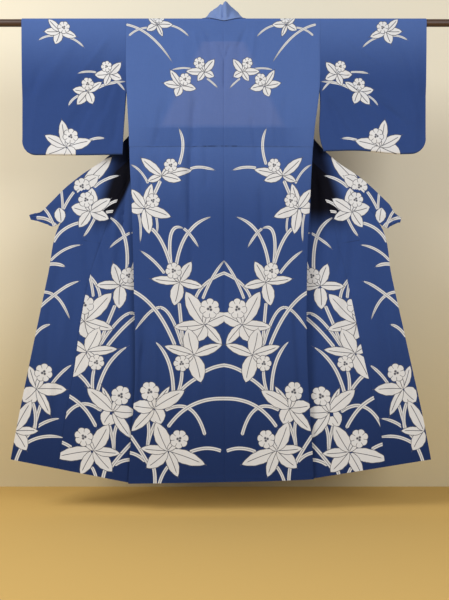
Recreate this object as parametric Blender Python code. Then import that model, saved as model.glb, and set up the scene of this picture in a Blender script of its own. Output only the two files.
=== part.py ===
"""Cotton yukata robe hung on a wooden rod, its back in front and both fronts folded back and drawn outwards.

Metres, +Z up. The origin is the middle of the rod's axis. The back faces -Y, the wearer's left is at -X.
Each cloth piece is a wall of even thickness about a grid of points.
"""

import math

import bpy
import numpy as np

CLOTH_WALL = 0.0015
COLLAR_WALL = 0.0034
SEAM_GAP = 0.0003
ROD_GAP = 0.0006
ROD_RADIUS = 0.012
ROD_LENGTH = 1.50
ROD_CHAMFER = 0.001
ROD_SIDES = 48

HANG_RADIUS = ROD_RADIUS + ROD_GAP + CLOTH_WALL / 2
COLLAR_RADIUS = ROD_RADIUS + ROD_GAP + COLLAR_WALL / 2
QUARTER_TURN = math.pi * HANG_RADIUS / 2

NECK_HALF = 0.0755
NECK_LOW_ANGLE = math.radians(12)
NECK_SHAPE = 1.3
CENTRE_SEAM_TOP = -0.0016
CENTRE_SEAM_HEM = 0.0030
EDGE_CURL = 0.003
FOLD_STARTS = 0.050

SLEEVE_OUTER = 0.660
SLEEVE_CORNER = 0.045
CUFF_DEPTH = 0.23
SLEEVE_LOW_HALF = 0.0045
SLEEVE_PINCH = 0.0011
SLEEVE_PINCH_REACH = 0.035

NECK_PLACES = (0.0, 0.04, 0.08, 0.12, 0.16, 0.20, 0.24)
BACK_COLUMNS = 10
FRONT_COLUMNS = 20
OVERLAP_COLUMNS = 7
SLEEVE_COLUMNS = 14
COLLAR_AROUND = 6

# Distances below the shoulder, along the cloth, where the panels and the collar share their points.
TURN_STATIONS = tuple(QUARTER_TURN * i / 5 for i in range(6))
DROP_STATIONS = (0.035, 0.050, 0.067, 0.084, 0.105, 0.130, 0.155, 0.180, 0.205, 0.230)
COLLAR_STATIONS = (0.262, 0.300, 0.340, 0.370, 0.400, 0.450, 0.507, 0.550, 0.592, 0.630, 0.673, 0.715)
OPEN_STATIONS = (0.757, 0.820, 0.890, 0.960, 1.040, 1.120, 1.200, 1.280, 1.360, 1.440)

CLOTH_COLOUR = (0.105, 0.165, 0.330, 1.0)
ROD_COLOUR = (0.060, 0.028, 0.016, 1.0)
CLOTH_ROUGHNESS = 0.88
ROD_ROUGHNESS = 0.45

LEFT, RIGHT = -1, 1
SIDE_NAME = {LEFT: "left", RIGHT: "right"}

# Back panel's free edge: height, half width of the body there.
SIDE_EDGE_COLUMNS = ("z", "width")
SIDE_EDGE = {
    LEFT: (
        (0.02, 0.3203),
        (-0.10, 0.3198),
        (-0.21, 0.3185),
        (-0.35, 0.3111),
        (-0.45, 0.3077),
        (-0.60, 0.3008),
        (-0.75, 0.2965),
        (-0.90, 0.2934),
        (-1.05, 0.2900),
        (-1.20, 0.2915),
        (-1.35, 0.3030),
        (-1.52, 0.3131),
    ),
    RIGHT: (
        (0.02, 0.3131),
        (-0.10, 0.3130),
        (-0.21, 0.3125),
        (-0.35, 0.2955),
        (-0.45, 0.2875),
        (-0.60, 0.2799),
        (-0.75, 0.2724),
        (-0.90, 0.2697),
        (-1.05, 0.2700),
        (-1.20, 0.2760),
        (-1.35, 0.2858),
        (-1.52, 0.2936),
    ),
}

# Hem of the back: sideways place, height.
HEM_COLUMNS = ("x", "z")
HEM = (
    (-0.3131, -1.5067),
    (-0.1703, -1.5041),
    (0.0033, -1.5008),
    (0.1441, -1.4978),
    (0.2936, -1.4923),
)

# Front panel by the cloth's distance below the shoulder: fold line behind the back, overlap seam, outer edge.
FRONT_COLUMNS_NAMED = ("below", "fold", "seam", "edge", "edge_z")
FRONT = {
    LEFT: (
        (0.000, 0.0760, 0.0760, 0.0760, 0.0131),
        (0.021, 0.0760, 0.0762, 0.0762, -0.0003),
        (0.050, 0.0790, 0.0860, 0.0860, -0.0300),
        (0.084, 0.0880, 0.1030, 0.1030, -0.0660),
        (0.130, 0.1030, 0.1270, 0.1270, -0.1150),
        (0.180, 0.1175, 0.1504, 0.1504, -0.1728),
        (0.230, 0.1292, 0.1725, 0.1725, -0.2238),
        (0.270, 0.1360, 0.1803, 0.1903, -0.2646),
        (0.340, 0.1450, 0.2070, 0.2326, -0.3317),
        (0.400, 0.1560, 0.2350, 0.2689, -0.3891),
        (0.507, 0.1800, 0.2980, 0.3537, -0.4756),
        (0.592, 0.2046, 0.3396, 0.4319, -0.5318),
        (0.673, 0.2250, 0.3695, 0.4993, -0.5940),
        (0.757, 0.2390, 0.4012, 0.5486, -0.6747),
        (0.900, 0.2519, 0.4455, 0.5769, -0.8149),
        (1.050, 0.2631, 0.4737, 0.6073, -0.9622),
        (1.200, 0.2760, 0.4923, 0.6374, -1.1095),
        (1.350, 0.2930, 0.5184, 0.6670, -1.2569),
        (1.527, 0.3070, 0.5429, 0.7000, -1.4300),
    ),
    RIGHT: (
        (0.000, 0.0760, 0.0760, 0.0760, 0.0131),
        (0.021, 0.0760, 0.0762, 0.0762, -0.0003),
        (0.050, 0.0780, 0.0850, 0.0850, -0.0300),
        (0.084, 0.0860, 0.1010, 0.1010, -0.0660),
        (0.130, 0.0990, 0.1230, 0.1230, -0.1170),
        (0.180, 0.1121, 0.1454, 0.1454, -0.1730),
        (0.230, 0.1235, 0.1669, 0.1669, -0.2238),
        (0.270, 0.1271, 0.1747, 0.1847, -0.2645),
        (0.340, 0.1310, 0.1931, 0.2181, -0.3353),
        (0.400, 0.1380, 0.2150, 0.2485, -0.3953),
        (0.507, 0.1590, 0.2780, 0.3307, -0.4821),
        (0.592, 0.1819, 0.3231, 0.4079, -0.5382),
        (0.673, 0.2028, 0.3541, 0.4722, -0.6009),
        (0.757, 0.2157, 0.3730, 0.5241, -0.6796),
        (0.900, 0.2270, 0.4081, 0.5501, -0.8224),
        (1.050, 0.2410, 0.4387, 0.5828, -0.9712),
        (1.200, 0.2573, 0.4704, 0.6152, -1.1200),
        (1.350, 0.2750, 0.5073, 0.6480, -1.2689),
        (1.513, 0.2875, 0.5283, 0.6793, -1.4300),
    ),
}

# Depth of the front's layers by the distance below the shoulder, positive away from the robe's back.
DEPTH_COLUMNS = ("below", "side", "inner", "outer", "edge")
DEPTH = (
    (0.000, 0.0000, 0.0000, 0.0000, 0.0000),
    (0.021, 0.0131, 0.0131, 0.0132, 0.0132),
    (0.050, 0.0131, 0.0131, 0.0215, 0.0225),
    (0.084, 0.0131, 0.0131, 0.0265, 0.0295),
    (0.130, 0.0131, 0.0131, 0.0280, 0.0325),
    (0.200, 0.0131, 0.0131, 0.0290, 0.0350),
    (0.270, 0.0100, 0.0125, 0.0290, 0.0360),
    (0.320, -0.0040, 0.0100, 0.0280, 0.0350),
    (0.370, -0.0088, 0.0080, 0.0270, 0.0330),
    (0.507, -0.0088, 0.0070, 0.0260, 0.0300),
    (0.673, -0.0088, 0.0060, 0.0240, 0.0180),
    (0.757, -0.0088, 0.0055, 0.0230, 0.0130),
    (1.050, -0.0088, 0.0030, 0.0170, 0.0080),
    (1.350, -0.0088, -0.0035, 0.0050, 0.0040),
    (1.540, -0.0088, -0.0060, -0.0020, 0.0040),
)

# Slit between the sleeve and the body below the armhole: height, how wide it stands open.
SLIT_COLUMNS = ("z", "open")
SLIT = {
    LEFT: ((-0.21, 0.0), (-0.27, 0.0075), (-0.35, 0.0174), (-0.44, 0.0253)),
    RIGHT: ((-0.21, 0.0), (-0.27, 0.0085), (-0.38, 0.0225), (-0.44, 0.0460)),
}

# Sleeve's bottom fold: half width, height.
SLEEVE_BOTTOM_COLUMNS = ("width", "z")
SLEEVE_BOTTOM = {
    LEFT: ((0.31, -0.4300), (0.45, -0.4325), (0.60, -0.4322), (0.66, -0.4322)),
    RIGHT: ((0.31, -0.4205), (0.45, -0.4180), (0.57, -0.4290), (0.66, -0.4258)),
}

# Soft creases: x_top, z_top, x_bottom, z_bottom, across, depth (positive is a valley seen from the back).
BACK_CREASES = (
    (-0.098, -0.16, -0.112, -0.95, 0.013, 0.0050),
    (-0.180, -0.20, -0.215, -0.50, 0.014, 0.0024),
    (-0.245, -0.90, -0.282, -1.30, 0.022, 0.0070),
    (-0.055, -0.02, -0.030, -0.20, 0.010, 0.0022),
    (-0.150, -0.04, -0.100, -0.30, 0.014, -0.0022),
    (0.060, -0.02, 0.035, -0.22, 0.010, 0.0020),
    (0.195, -0.22, 0.212, -0.48, 0.013, 0.0022),
    (0.120, -0.50, 0.135, -1.10, 0.020, 0.0036),
    (0.248, -0.85, 0.262, -1.30, 0.016, 0.0045),
    (-0.165, -0.60, -0.175, -1.40, 0.022, -0.0035),
    (0.000, -0.40, 0.003, -1.45, 0.010, 0.0028),
)
SLEEVE_CREASES = {
    LEFT: (
        (-0.350, -0.05, -0.560, -0.46, 0.018, 0.0030),
        (-0.335, -0.12, -0.440, -0.46, 0.016, -0.0030),
        (-0.480, -0.03, -0.640, -0.30, 0.024, -0.0025),
        (-0.345, -0.25, -0.380, -0.46, 0.012, 0.0028),
    ),
    RIGHT: (
        (0.350, -0.06, 0.640, -0.40, 0.020, 0.0038),
        (0.340, -0.17, 0.560, -0.46, 0.018, -0.0030),
        (0.330, -0.24, 0.430, -0.46, 0.014, 0.0034),
        (0.520, -0.03, 0.655, -0.22, 0.022, -0.0026),
    ),
}
FRONT_CREASES = {
    LEFT: (
        (-0.330, -0.50, -0.345, -0.86, 0.018, 0.0070),
        (-0.395, -0.78, -0.370, -1.42, 0.022, -0.0065),
        (-0.340, -0.95, -0.345, -1.45, 0.016, 0.0055),
        (-0.540, -0.70, -0.560, -1.38, 0.020, 0.0045),
        (-0.500, -0.80, -0.600, -1.40, 0.018, -0.0040),
        (-0.470, -0.62, -0.420, -1.00, 0.016, 0.0040),
    ),
    RIGHT: (
        (0.310, -0.50, 0.330, -0.90, 0.018, 0.0080),
        (0.375, -0.80, 0.360, -1.42, 0.020, -0.0060),
        (0.320, -0.95, 0.325, -1.45, 0.016, 0.0050),
        (0.480, -0.70, 0.590, -1.38, 0.020, 0.0045),
        (0.540, -0.85, 0.640, -1.40, 0.016, -0.0040),
        (0.430, -0.62, 0.400, -1.00, 0.016, 0.0040),
    ),
}

# Collar behind the back neck, by its place between the middle (0) and the shoulder point (1).
NECK_COLUMNS = ("place", "sideways", "backward", "up", "width")
NECK_COLLAR = (
    (0.00, 0.00, 0.10, 1.00, 0.0655),
    (0.25, 0.02, 0.42, 0.90, 0.0620),
    (0.50, -0.02, 0.69, 0.72, 0.0610),
    (0.75, -0.14, 0.79, 0.60, 0.0600),
    (1.00, -0.34, 0.86, 0.38, 0.0570),
)
# Collar along the front, by the cloth's distance below the shoulder: the band's way from its sewn edge.
DROP_COLUMNS = ("below", "outward", "backward", "up", "width")
DROP_COLLAR = (
    (0.020, -0.32, 0.90, 0.26, 0.0560),
    (0.050, 0.30, 0.92, 0.10, 0.0555),
    (0.084, 0.60, 0.74, 0.22, 0.0550),
    (0.150, 0.80, 0.42, 0.38, 0.0550),
    (0.230, 0.86, 0.20, 0.48, 0.0550),
    (0.340, 0.84, 0.08, 0.55, 0.0550),
    (0.450, 0.74, 0.02, 0.67, 0.0550),
    (0.592, 0.68, 0.00, 0.73, 0.0550),
    (0.690, 0.66, 0.00, 0.75, 0.0600),
    (0.757, 0.70, 0.02, 0.72, 0.0740),
)
# Drawn-out end of the collar: sewn_width, sewn_y, sewn_z, fold_width, fold_y, fold_z.
COLLAR_TIP = {
    LEFT: (
        (0.5640, 0.0165, -0.6640, 0.6080, 0.0160, -0.6185),
        (0.5850, 0.0185, -0.6560, 0.6170, 0.0175, -0.6200),
        (0.6120, 0.0150, -0.6470, 0.6300, 0.0140, -0.6235),
        (0.6360, 0.0120, -0.6415, 0.6405, 0.0120, -0.6275),
    ),
    RIGHT: (
        (0.5380, 0.0165, -0.6700, 0.5620, 0.0160, -0.6200),
        (0.5500, 0.0185, -0.6620, 0.5690, 0.0175, -0.6250),
        (0.5640, 0.0150, -0.6550, 0.5760, 0.0140, -0.6310),
        (0.5800, 0.0120, -0.6500, 0.5840, 0.0120, -0.6360),
    ),
}
# Collar on the rod's far side at the shoulder point, where it stands on its sewn edge: width, y, z.
STAND = (
    (0.0762, 0.0205, -0.0120),
    (0.0738, 0.0137, 0.0020),
    (0.0738, 0.0108, 0.0080),
    (0.0738, 0.0066, 0.0122),
)
COLLAR_CLEAR = 0.0020
COLLAR_LEAD = 0.30


def smooth(value):
    """Eases 0 to 1, flat at both ends."""
    held = np.clip(value, 0.0, 1.0)
    return held * held * (3.0 - 2.0 * held)


def column(rows, names, name):
    return np.array([row[names.index(name)] for row in rows])


def curve(places, values, wanted):
    """A smooth curve through a table's points, by cubic pieces with the neighbours' slopes."""
    places = np.asarray(places, float)
    values = np.asarray(values, float)
    if places[0] > places[-1]:
        places, values = places[::-1], values[::-1]
    steps = np.diff(places)
    slopes = np.diff(values) / steps
    tangents = np.concatenate([slopes[:1], (slopes[1:] + slopes[:-1]) / 2, slopes[-1:]])
    wanted = np.clip(wanted, places[0], places[-1])
    at = np.clip(np.searchsorted(places, wanted, side="right") - 1, 0, len(steps) - 1)
    part = (wanted - places[at]) / steps[at]
    rise = part * part * (3 - 2 * part)
    lean_in = part * (1 - part) ** 2 * steps[at] * tangents[at]
    lean_out = part * part * (part - 1) * steps[at] * tangents[at + 1]
    return values[at] + (values[at + 1] - values[at]) * rise + lean_in + lean_out


def crease_depth(x, z, creases):
    """Sum of soft valleys and ridges, each along a line and fading at both ends."""
    total = np.zeros(np.broadcast(x, z).shape)
    for x_top, z_top, x_bottom, z_bottom, across, depth in creases:
        along = (z_top - z) / (z_top - z_bottom)
        middle = x_top + (x_bottom - x_top) * along
        fade = smooth(4.0 * along) * smooth(4.0 * (1.0 - along))
        total += depth * fade * np.exp(-(((x - middle) / across) ** 2))
    return total


def hang(below, radius=HANG_RADIUS):
    """Depth and height of cloth that leaves the rod's top: a quarter turn, then straight down."""
    turn = np.minimum(below / radius, math.pi / 2)
    depth = radius * np.sin(turn)
    height = radius * np.cos(turn) - np.maximum(below - radius * math.pi / 2, 0.0)
    return depth, height


def neck_angle(x):
    """How far up the rod the neckline runs: nearly level in the middle, on top at the shoulder point."""
    share = np.clip(np.abs(x) / NECK_HALF, 0.0, 1.0) ** NECK_SHAPE
    return NECK_LOW_ANGLE + (math.pi / 2 - NECK_LOW_ANGLE) * share


def side_width(side, z):
    rows = SIDE_EDGE[side]
    return curve(column(rows, SIDE_EDGE_COLUMNS, "z"), column(rows, SIDE_EDGE_COLUMNS, "width"), z)


def back_point(side, across, down):
    """Back panel: across runs from the centre seam to the side, down from the shoulder line to the hem."""
    hem = curve(column(HEM, HEM_COLUMNS, "x"), column(HEM, HEM_COLUMNS, "z"), side * across * 0.30)
    guess = side * across * side_width(side, np.zeros_like(across))
    start = HANG_RADIUS * (math.pi / 2 - neck_angle(guess))
    below = start + (QUARTER_TURN - hem - start) * down
    depth, z = hang(below)
    fall = np.clip(-z / -HEM[0][1], 0.0, 1.0)
    centre = CENTRE_SEAM_TOP + (CENTRE_SEAM_HEM - CENTRE_SEAM_TOP) * fall
    inner = centre + side * SEAM_GAP / 2
    x = inner + (side * side_width(side, z) - inner) * across
    loose = smooth((below - QUARTER_TURN) / 0.06)
    free = 1.0 - smooth((across - 0.9) / 0.1)
    curl = EDGE_CURL * across**8 * smooth(-z / 0.35)
    y = -depth + loose * (crease_depth(x, z, BACK_CREASES) * free + curl)
    return np.stack([x, y, z], axis=-1)


def spline(controls, places):
    """A clamped cubic B-spline through each row's end controls, at places from 0 to 1."""
    ends = np.concatenate([controls[:, :1]] * 2 + [controls] + [controls[:, -1:]] * 2, axis=1)
    spans = ends.shape[1] - 3
    at = np.clip(places * spans, 0.0, spans - 1e-9)
    first = at.astype(int)
    part = at - first
    weights = (
        (1 - part) ** 3 / 6,
        (3 * part**3 - 6 * part**2 + 4) / 6,
        (-3 * part**3 + 3 * part**2 + 3 * part + 1) / 6,
        part**3 / 6,
    )
    return sum(weight[None, :, None] * ends[:, first + i] for i, weight in enumerate(weights))


def front_values(side, below):
    """The front's table and depth columns at these distances below the shoulder."""
    rows = FRONT[side]
    places = column(rows, FRONT_COLUMNS_NAMED, "below")
    found = {n: curve(places, column(rows, FRONT_COLUMNS_NAMED, n), below) for n in FRONT_COLUMNS_NAMED[1:]}
    deep = column(DEPTH, DEPTH_COLUMNS, "below")
    for name in DEPTH_COLUMNS[1:]:
        key = "depth_" + name
        found[key] = np.interp(below, deep, column(DEPTH, DEPTH_COLUMNS, name))
    round_rod, found["z"] = hang(below)
    on_rod = below < QUARTER_TURN
    for name in DEPTH_COLUMNS[1:]:
        found["depth_" + name] = np.where(on_rod, round_rod, found["depth_" + name])
    found["edge_z"] = np.where(on_rod, found["z"], found["edge_z"])
    inset = CLOTH_WALL / 2 * smooth((below - 0.22) / 0.08)
    found["width"] = side_width(side, found["z"]) - inset
    return found


def outward_share(found, width):
    """How far a half width is between the fold line and the outer edge."""
    span = np.maximum(found["edge"] - found["fold"], 1e-6)
    return np.clip((width - found["fold"]) / span, 0.0, 1.0)


def outward_point(found, width):
    """Depth and height of the outward layer at a half width: a straight run to the outer edge."""
    share = outward_share(found, width)
    depth = found["depth_outer"] + (found["depth_edge"] - found["depth_outer"]) * share
    height = found["z"] + (found["edge_z"] - found["z"]) * share
    return depth, height


def front_point(side, across, down):
    """Front panel: in from the side behind the back, round the fold line, and out to the overlap seam."""
    last = FRONT[side][-1][0]
    below = down[:, 0] * last
    found = front_values(side, below)
    width, fold, seam = found["width"], found["fold"], found["seam"]
    tuck = width - fold
    out = seam - fold
    bend = np.minimum(0.010, tuck * 0.35)
    turn = np.minimum(0.008, np.minimum(out, tuck) * 0.35)
    side_y, inner_y, outer_y = found["depth_side"], found["depth_inner"], found["depth_outer"]
    near_depth, near_z = outward_point(found, fold + turn)
    far_depth, far_z = outward_point(found, fold + out * 0.55)
    seam_depth, seam_z = outward_point(found, seam)
    z = found["z"]
    controls = np.stack(
        [
            np.stack([width, side_y, z], -1),
            np.stack([width + 0.1 * bend, side_y * 0.5 + inner_y * 0.5, z], -1),
            np.stack([width - bend, inner_y, z], -1),
            np.stack([width - bend - (tuck - bend - turn) * 0.5, inner_y, z], -1),
            np.stack([fold + turn, inner_y, z], -1),
            np.stack([fold - 0.35 * turn, inner_y, z], -1),
            np.stack([fold - 0.35 * turn, near_depth, near_z * 0.5 + z * 0.5], -1),
            np.stack([fold + turn, near_depth, near_z], -1),
            np.stack([fold + out * 0.55, far_depth, far_z], -1),
            np.stack([seam, seam_depth, seam_z], -1),
        ],
        axis=1,
    )
    # On the rod the panel lies flat: its fold grows out of an even row below the shoulder.
    share = np.linspace(0.0, 1.0, controls.shape[1])[None, :, None]
    even = controls[:, :1] * (1.0 - share) + controls[:, -1:] * share
    formed = smooth((below - QUARTER_TURN) / (FOLD_STARTS - QUARTER_TURN))[:, None, None]
    controls = even + (controls - even) * formed
    grid = spline(controls, across[0])
    grid[..., 0] *= side
    visible = smooth((across - 0.76) / 0.1)
    low = smooth((below[:, None] - 0.40) / 0.15)
    grid[..., 1] += crease_depth(grid[..., 0], grid[..., 2], FRONT_CREASES[side]) * visible * low
    return grid


def overlap_point(side, across, below):
    """Overlap panel: from its seam on the front to the collar's seam and, lower, the robe's outer edge."""
    found = front_values(side, below[:, 0])
    found = {name: value[:, None] for name, value in found.items()}
    inner = found["seam"] + SEAM_GAP * 1.6
    outer = np.maximum(found["edge"], inner + 0.002)
    width = inner + (outer - inner) * across
    depth, z = outward_point(found, width)
    middle = smooth((1.0 - across) / 0.25)
    low = smooth((below - 0.40) / 0.15)
    y = depth + crease_depth(side * width, z, FRONT_CREASES[side]) * middle * low
    return np.stack([side * width, y, z], axis=-1)


def sleeve_point(side, across, around):
    """Sleeve: across from body to cuff, around from the bottom fold up the back, over the rod and down."""
    bottom_rows = SLEEVE_BOTTOM[side]
    corner_start = SLEEVE_OUTER - SLEEVE_CORNER
    reach = 0.33 + (SLEEVE_OUTER - 0.33) * across
    into_corner = np.clip((reach - corner_start) / SLEEVE_CORNER, 0.0, 1.0)
    lift = SLEEVE_CORNER * (1.0 - np.sqrt(np.maximum(1.0 - into_corner**2, 0.0)))
    places = column(bottom_rows, SLEEVE_BOTTOM_COLUMNS, "width")
    bottom = curve(places, column(bottom_rows, SLEEVE_BOTTOM_COLUMNS, "z"), reach) + lift
    side_part = np.where(around < 0.5, around, 1.0 - around) * 2.0
    sign = np.where(around < 0.5, -1.0, 1.0)
    top_share, bottom_share = 0.22, 0.12
    over = np.clip((side_part - (1.0 - top_share)) / top_share, 0.0, 1.0) * math.pi / 2
    under = np.clip(1.0 - side_part / bottom_share, 0.0, 1.0) * math.pi / 2
    run = np.clip((side_part - bottom_share) / (1.0 - top_share - bottom_share), 0.0, 1.0)
    closing = smooth((reach - (SLEEVE_OUTER - SLEEVE_PINCH_REACH)) / SLEEVE_PINCH_REACH)
    low_half = SLEEVE_LOW_HALF + (SLEEVE_PINCH - SLEEVE_LOW_HALF) * closing
    z = np.where(over > 0, HANG_RADIUS * np.sin(over), bottom + low_half + (-bottom - low_half) * run)
    z = np.where(under > 0, bottom + low_half - low_half * np.sin(under), z)
    open_half = HANG_RADIUS + (low_half - HANG_RADIUS) * smooth(-z / 0.40)
    shut = closing * smooth((-z - CUFF_DEPTH + 0.03) / 0.05)
    half = open_half + (SLEEVE_PINCH - open_half) * shut
    half = np.where(over > 0, HANG_RADIUS * np.cos(over), half)
    half = np.where(under > 0, low_half * np.cos(under), half)
    slit_z = column(SLIT[side], SLIT_COLUMNS, "z")
    slit = curve(slit_z, column(SLIT[side], SLIT_COLUMNS, "open"), z)
    inner = side_width(side, z) + SEAM_GAP + np.maximum(slit, 0.0)
    width = inner + (SLEEVE_OUTER - inner) * across
    y = sign * half
    calm = smooth(-z / 0.08) * smooth((z - bottom) / 0.05)
    calm = calm * smooth((1.0 - across) / 0.12) * smooth(across / 0.1)
    wave = crease_depth(side * width, z, SLEEVE_CREASES[side])
    far_wave = crease_depth(side * width, z + 0.03, SLEEVE_CREASES[side]) * 0.7
    y = y + calm * np.where(sign < 0, wave, np.minimum(far_wave, 0.0035))
    return np.stack([side * width, y, z], axis=-1)


def lattice(first, second):
    return np.meshgrid(first, second, indexing="ij")


def unit(vectors):
    return vectors / np.maximum(np.linalg.norm(vectors, axis=-1, keepdims=True), 1e-12)


def mean_way(grid, axis, closed):
    """The grid's direction along an axis at each point: the mean of the unit steps before and after it."""
    if closed:
        steps = unit(np.roll(grid, -1, axis=axis) - grid)
        return steps + np.roll(steps, 1, axis=axis)
    steps = unit(np.diff(grid, axis=axis))
    first, last = np.take(steps, [0], axis=axis), np.take(steps, [-1], axis=axis)
    return np.concatenate([first, steps], axis=axis) + np.concatenate([steps, last], axis=axis)


def normals_of(grid, closed_rows=False):
    """Unit normals of a grid of points, halving the angle between its steps."""
    return unit(np.cross(mean_way(grid, 0, closed_rows), mean_way(grid, 1, False)))


def strip_faces(first, second, closed):
    """Quads between two lines of vertex numbers."""
    if closed:
        first, second = np.append(first, first[0]), np.append(second, second[0])
    return np.stack([first[:-1], first[1:], second[1:], second[:-1]], axis=1)


def wall_faces(rows, columns, closed_rows):
    """Faces of a wall whose two skins are numbered in turn, both split along the same diagonals."""
    numbers = np.arange(rows * columns).reshape(rows, columns)
    outer, inner = numbers, numbers + rows * columns
    faces = []
    for j in range(columns - 1):
        faces.append(strip_faces(outer[:, j], outer[:, j + 1], closed_rows)[:, [0, 3, 2, 1]])
        faces.append(strip_faces(inner[:, j], inner[:, j + 1], closed_rows))
    faces.append(strip_faces(outer[:, 0], inner[:, 0], closed_rows))
    faces.append(strip_faces(outer[:, -1], inner[:, -1], closed_rows)[:, ::-1])
    if not closed_rows:
        faces.append(strip_faces(outer[0], inner[0], False)[:, ::-1])
        faces.append(strip_faces(outer[-1], inner[-1], False))
    return np.concatenate(faces)


def finish(name, points, faces, material, mirrored=False):
    """Makes the object, with every quad split the same way on both sides and its faces turned outwards."""
    if mirrored:
        faces = np.roll(faces, 1, axis=1)
    triangles = np.concatenate([faces[:, [0, 1, 2]], faces[:, [0, 2, 3]]])
    corners = points[triangles]
    volume = np.einsum("ij,ij->i", corners[:, 0], np.cross(corners[:, 1], corners[:, 2])).sum()
    if volume < 0:
        triangles = triangles[:, ::-1]
    mesh = bpy.data.meshes.new(name)
    mesh.from_pydata(points.tolist(), [], triangles.tolist())
    mesh.materials.append(material)
    mesh.update()
    thing = bpy.data.objects.new(name, mesh)
    bpy.context.scene.collection.objects.link(thing)
    return thing


def cloth(name, grid, wall=CLOTH_WALL, closed_rows=False):
    """A wall of even thickness about a grid of points."""
    push = normals_of(grid, closed_rows) * (wall / 2)
    rows, columns = grid.shape[:2]
    points = np.concatenate([(grid + push).reshape(-1, 3), (grid - push).reshape(-1, 3)])
    material = material_of(name, CLOTH_COLOUR, CLOTH_ROUGHNESS)
    mirrored = grid[..., 0].mean() < -wall
    return finish(name, points, wall_faces(rows, columns, closed_rows), material, mirrored)


def material_of(name, colour, roughness):
    material = bpy.data.materials.new(name)
    material.use_nodes = True
    shader = material.node_tree.nodes["Principled BSDF"]
    shader.inputs["Base Color"].default_value = colour
    shader.inputs["Roughness"].default_value = roughness
    shader.inputs["Metallic"].default_value = 0.0
    material.diffuse_color = colour
    return material


def stations(side):
    """Distances below the shoulder of one side's rows, the last at its hem."""
    return np.array(TURN_STATIONS + DROP_STATIONS + COLLAR_STATIONS + OPEN_STATIONS + (FRONT[side][-1][0],))


def build_backs():
    across = np.concatenate([NECK_PLACES[:-1], np.linspace(NECK_PLACES[-1], 1.0, BACK_COLUMNS)])
    for side in (LEFT, RIGHT):
        below = stations(side)
        grid_down, grid_across = lattice(below / below[-1], across)
        grid = back_point(side, grid_across, grid_down)
        name = "back_" + SIDE_NAME[side]
        cloth(name, grid)


def build_fronts():
    across = np.linspace(0.0, 1.0, FRONT_COLUMNS)
    for side in (LEFT, RIGHT):
        below = stations(side)
        below[0] = SEAM_GAP * 1.4
        grid_down, grid_across = lattice(below / below[-1], across)
        grid = front_point(side, grid_across, grid_down)
        name = "front_" + SIDE_NAME[side]
        cloth(name, grid)


def build_overlaps():
    across = np.linspace(0.0, 1.0, OVERLAP_COLUMNS)
    for side in (LEFT, RIGHT):
        below = stations(side)
        grid_below, grid_across = lattice(below[below >= COLLAR_STATIONS[0]], across)
        name = "overlap_" + SIDE_NAME[side]
        grid = overlap_point(side, grid_across, grid_below)
        cloth(name, grid)


def sleeve_places():
    """Places around the sleeve's section: close together in its two bends."""
    low, run, top = np.linspace(0.0, 0.12, 4), np.linspace(0.12, 0.78, 9), np.linspace(0.78, 1.0, 5)
    half = np.concatenate([low[:-1], run[:-1], top])
    return np.concatenate([half / 2, 1.0 - half[-2:0:-1] / 2])


def build_sleeves():
    even = np.linspace(0.0, 0.86, SLEEVE_COLUMNS - 4)
    bend = 1.0 - 0.137 * (1.0 - np.sin(np.linspace(0.0, math.pi / 2, 5)[1:]))
    across = np.concatenate([even, bend])
    for side in (LEFT, RIGHT):
        grid_around, grid_across = lattice(sleeve_places(), across)
        name = "sleeve_" + SIDE_NAME[side]
        grid = sleeve_point(side, grid_across, grid_around)
        cloth(name, grid, closed_rows=True)


def panel_edge(side, below):
    """The front's free edge at one distance below the shoulder, and the cloth's way there."""
    across = np.array([[0.97, 1.0]])
    last = FRONT[side][-1][0]
    if below < COLLAR_STATIONS[0]:
        pair = front_point(side, across, np.full((1, 2), below / last))[0]
    else:
        pair = overlap_point(side, across, np.full((1, 2), below))[0]
    return pair[1], unit(pair[1] - pair[0])


def band(edge, lead, fold):
    """Points across the collar: from its sewn edge, at first along the cloth it leaves, to its fold edge."""
    sewn = edge + lead * COLLAR_CLEAR
    bend = sewn + lead * COLLAR_LEAD * np.linalg.norm(fold - edge)
    share = np.linspace(0.0, 1.0, COLLAR_AROUND)[:, None]
    return (1 - share) ** 2 * sewn + 2 * share * (1 - share) * bend + share**2 * fold


def drop_way(side, below):
    """The band's way and width at one distance below the shoulder."""
    at = column(DROP_COLLAR, DROP_COLUMNS, "below")
    values = [curve(at, column(DROP_COLLAR, DROP_COLUMNS, n), below) for n in DROP_COLUMNS[1:]]
    outward, backward, up, width = values
    return unit(np.array([side * outward, backward, up])), width


def neck_band(place):
    """Points across the collar behind the neck, from one shoulder point (-1) to the other (1)."""
    angle = neck_angle(place * NECK_HALF)
    edge = np.array([place * NECK_HALF, -COLLAR_RADIUS * np.cos(angle), COLLAR_RADIUS * np.sin(angle)])
    at = column(NECK_COLLAR, NECK_COLUMNS, "place")
    ways = [curve(at, column(NECK_COLLAR, NECK_COLUMNS, n), abs(place)) for n in NECK_COLUMNS[1:]]
    way = unit(np.array([math.copysign(ways[0], place * ways[0]), ways[1], ways[2]]))
    lead = np.array([0.0, np.sin(angle), np.cos(angle)])
    return band(edge, lead, edge + way * ways[3])


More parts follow.
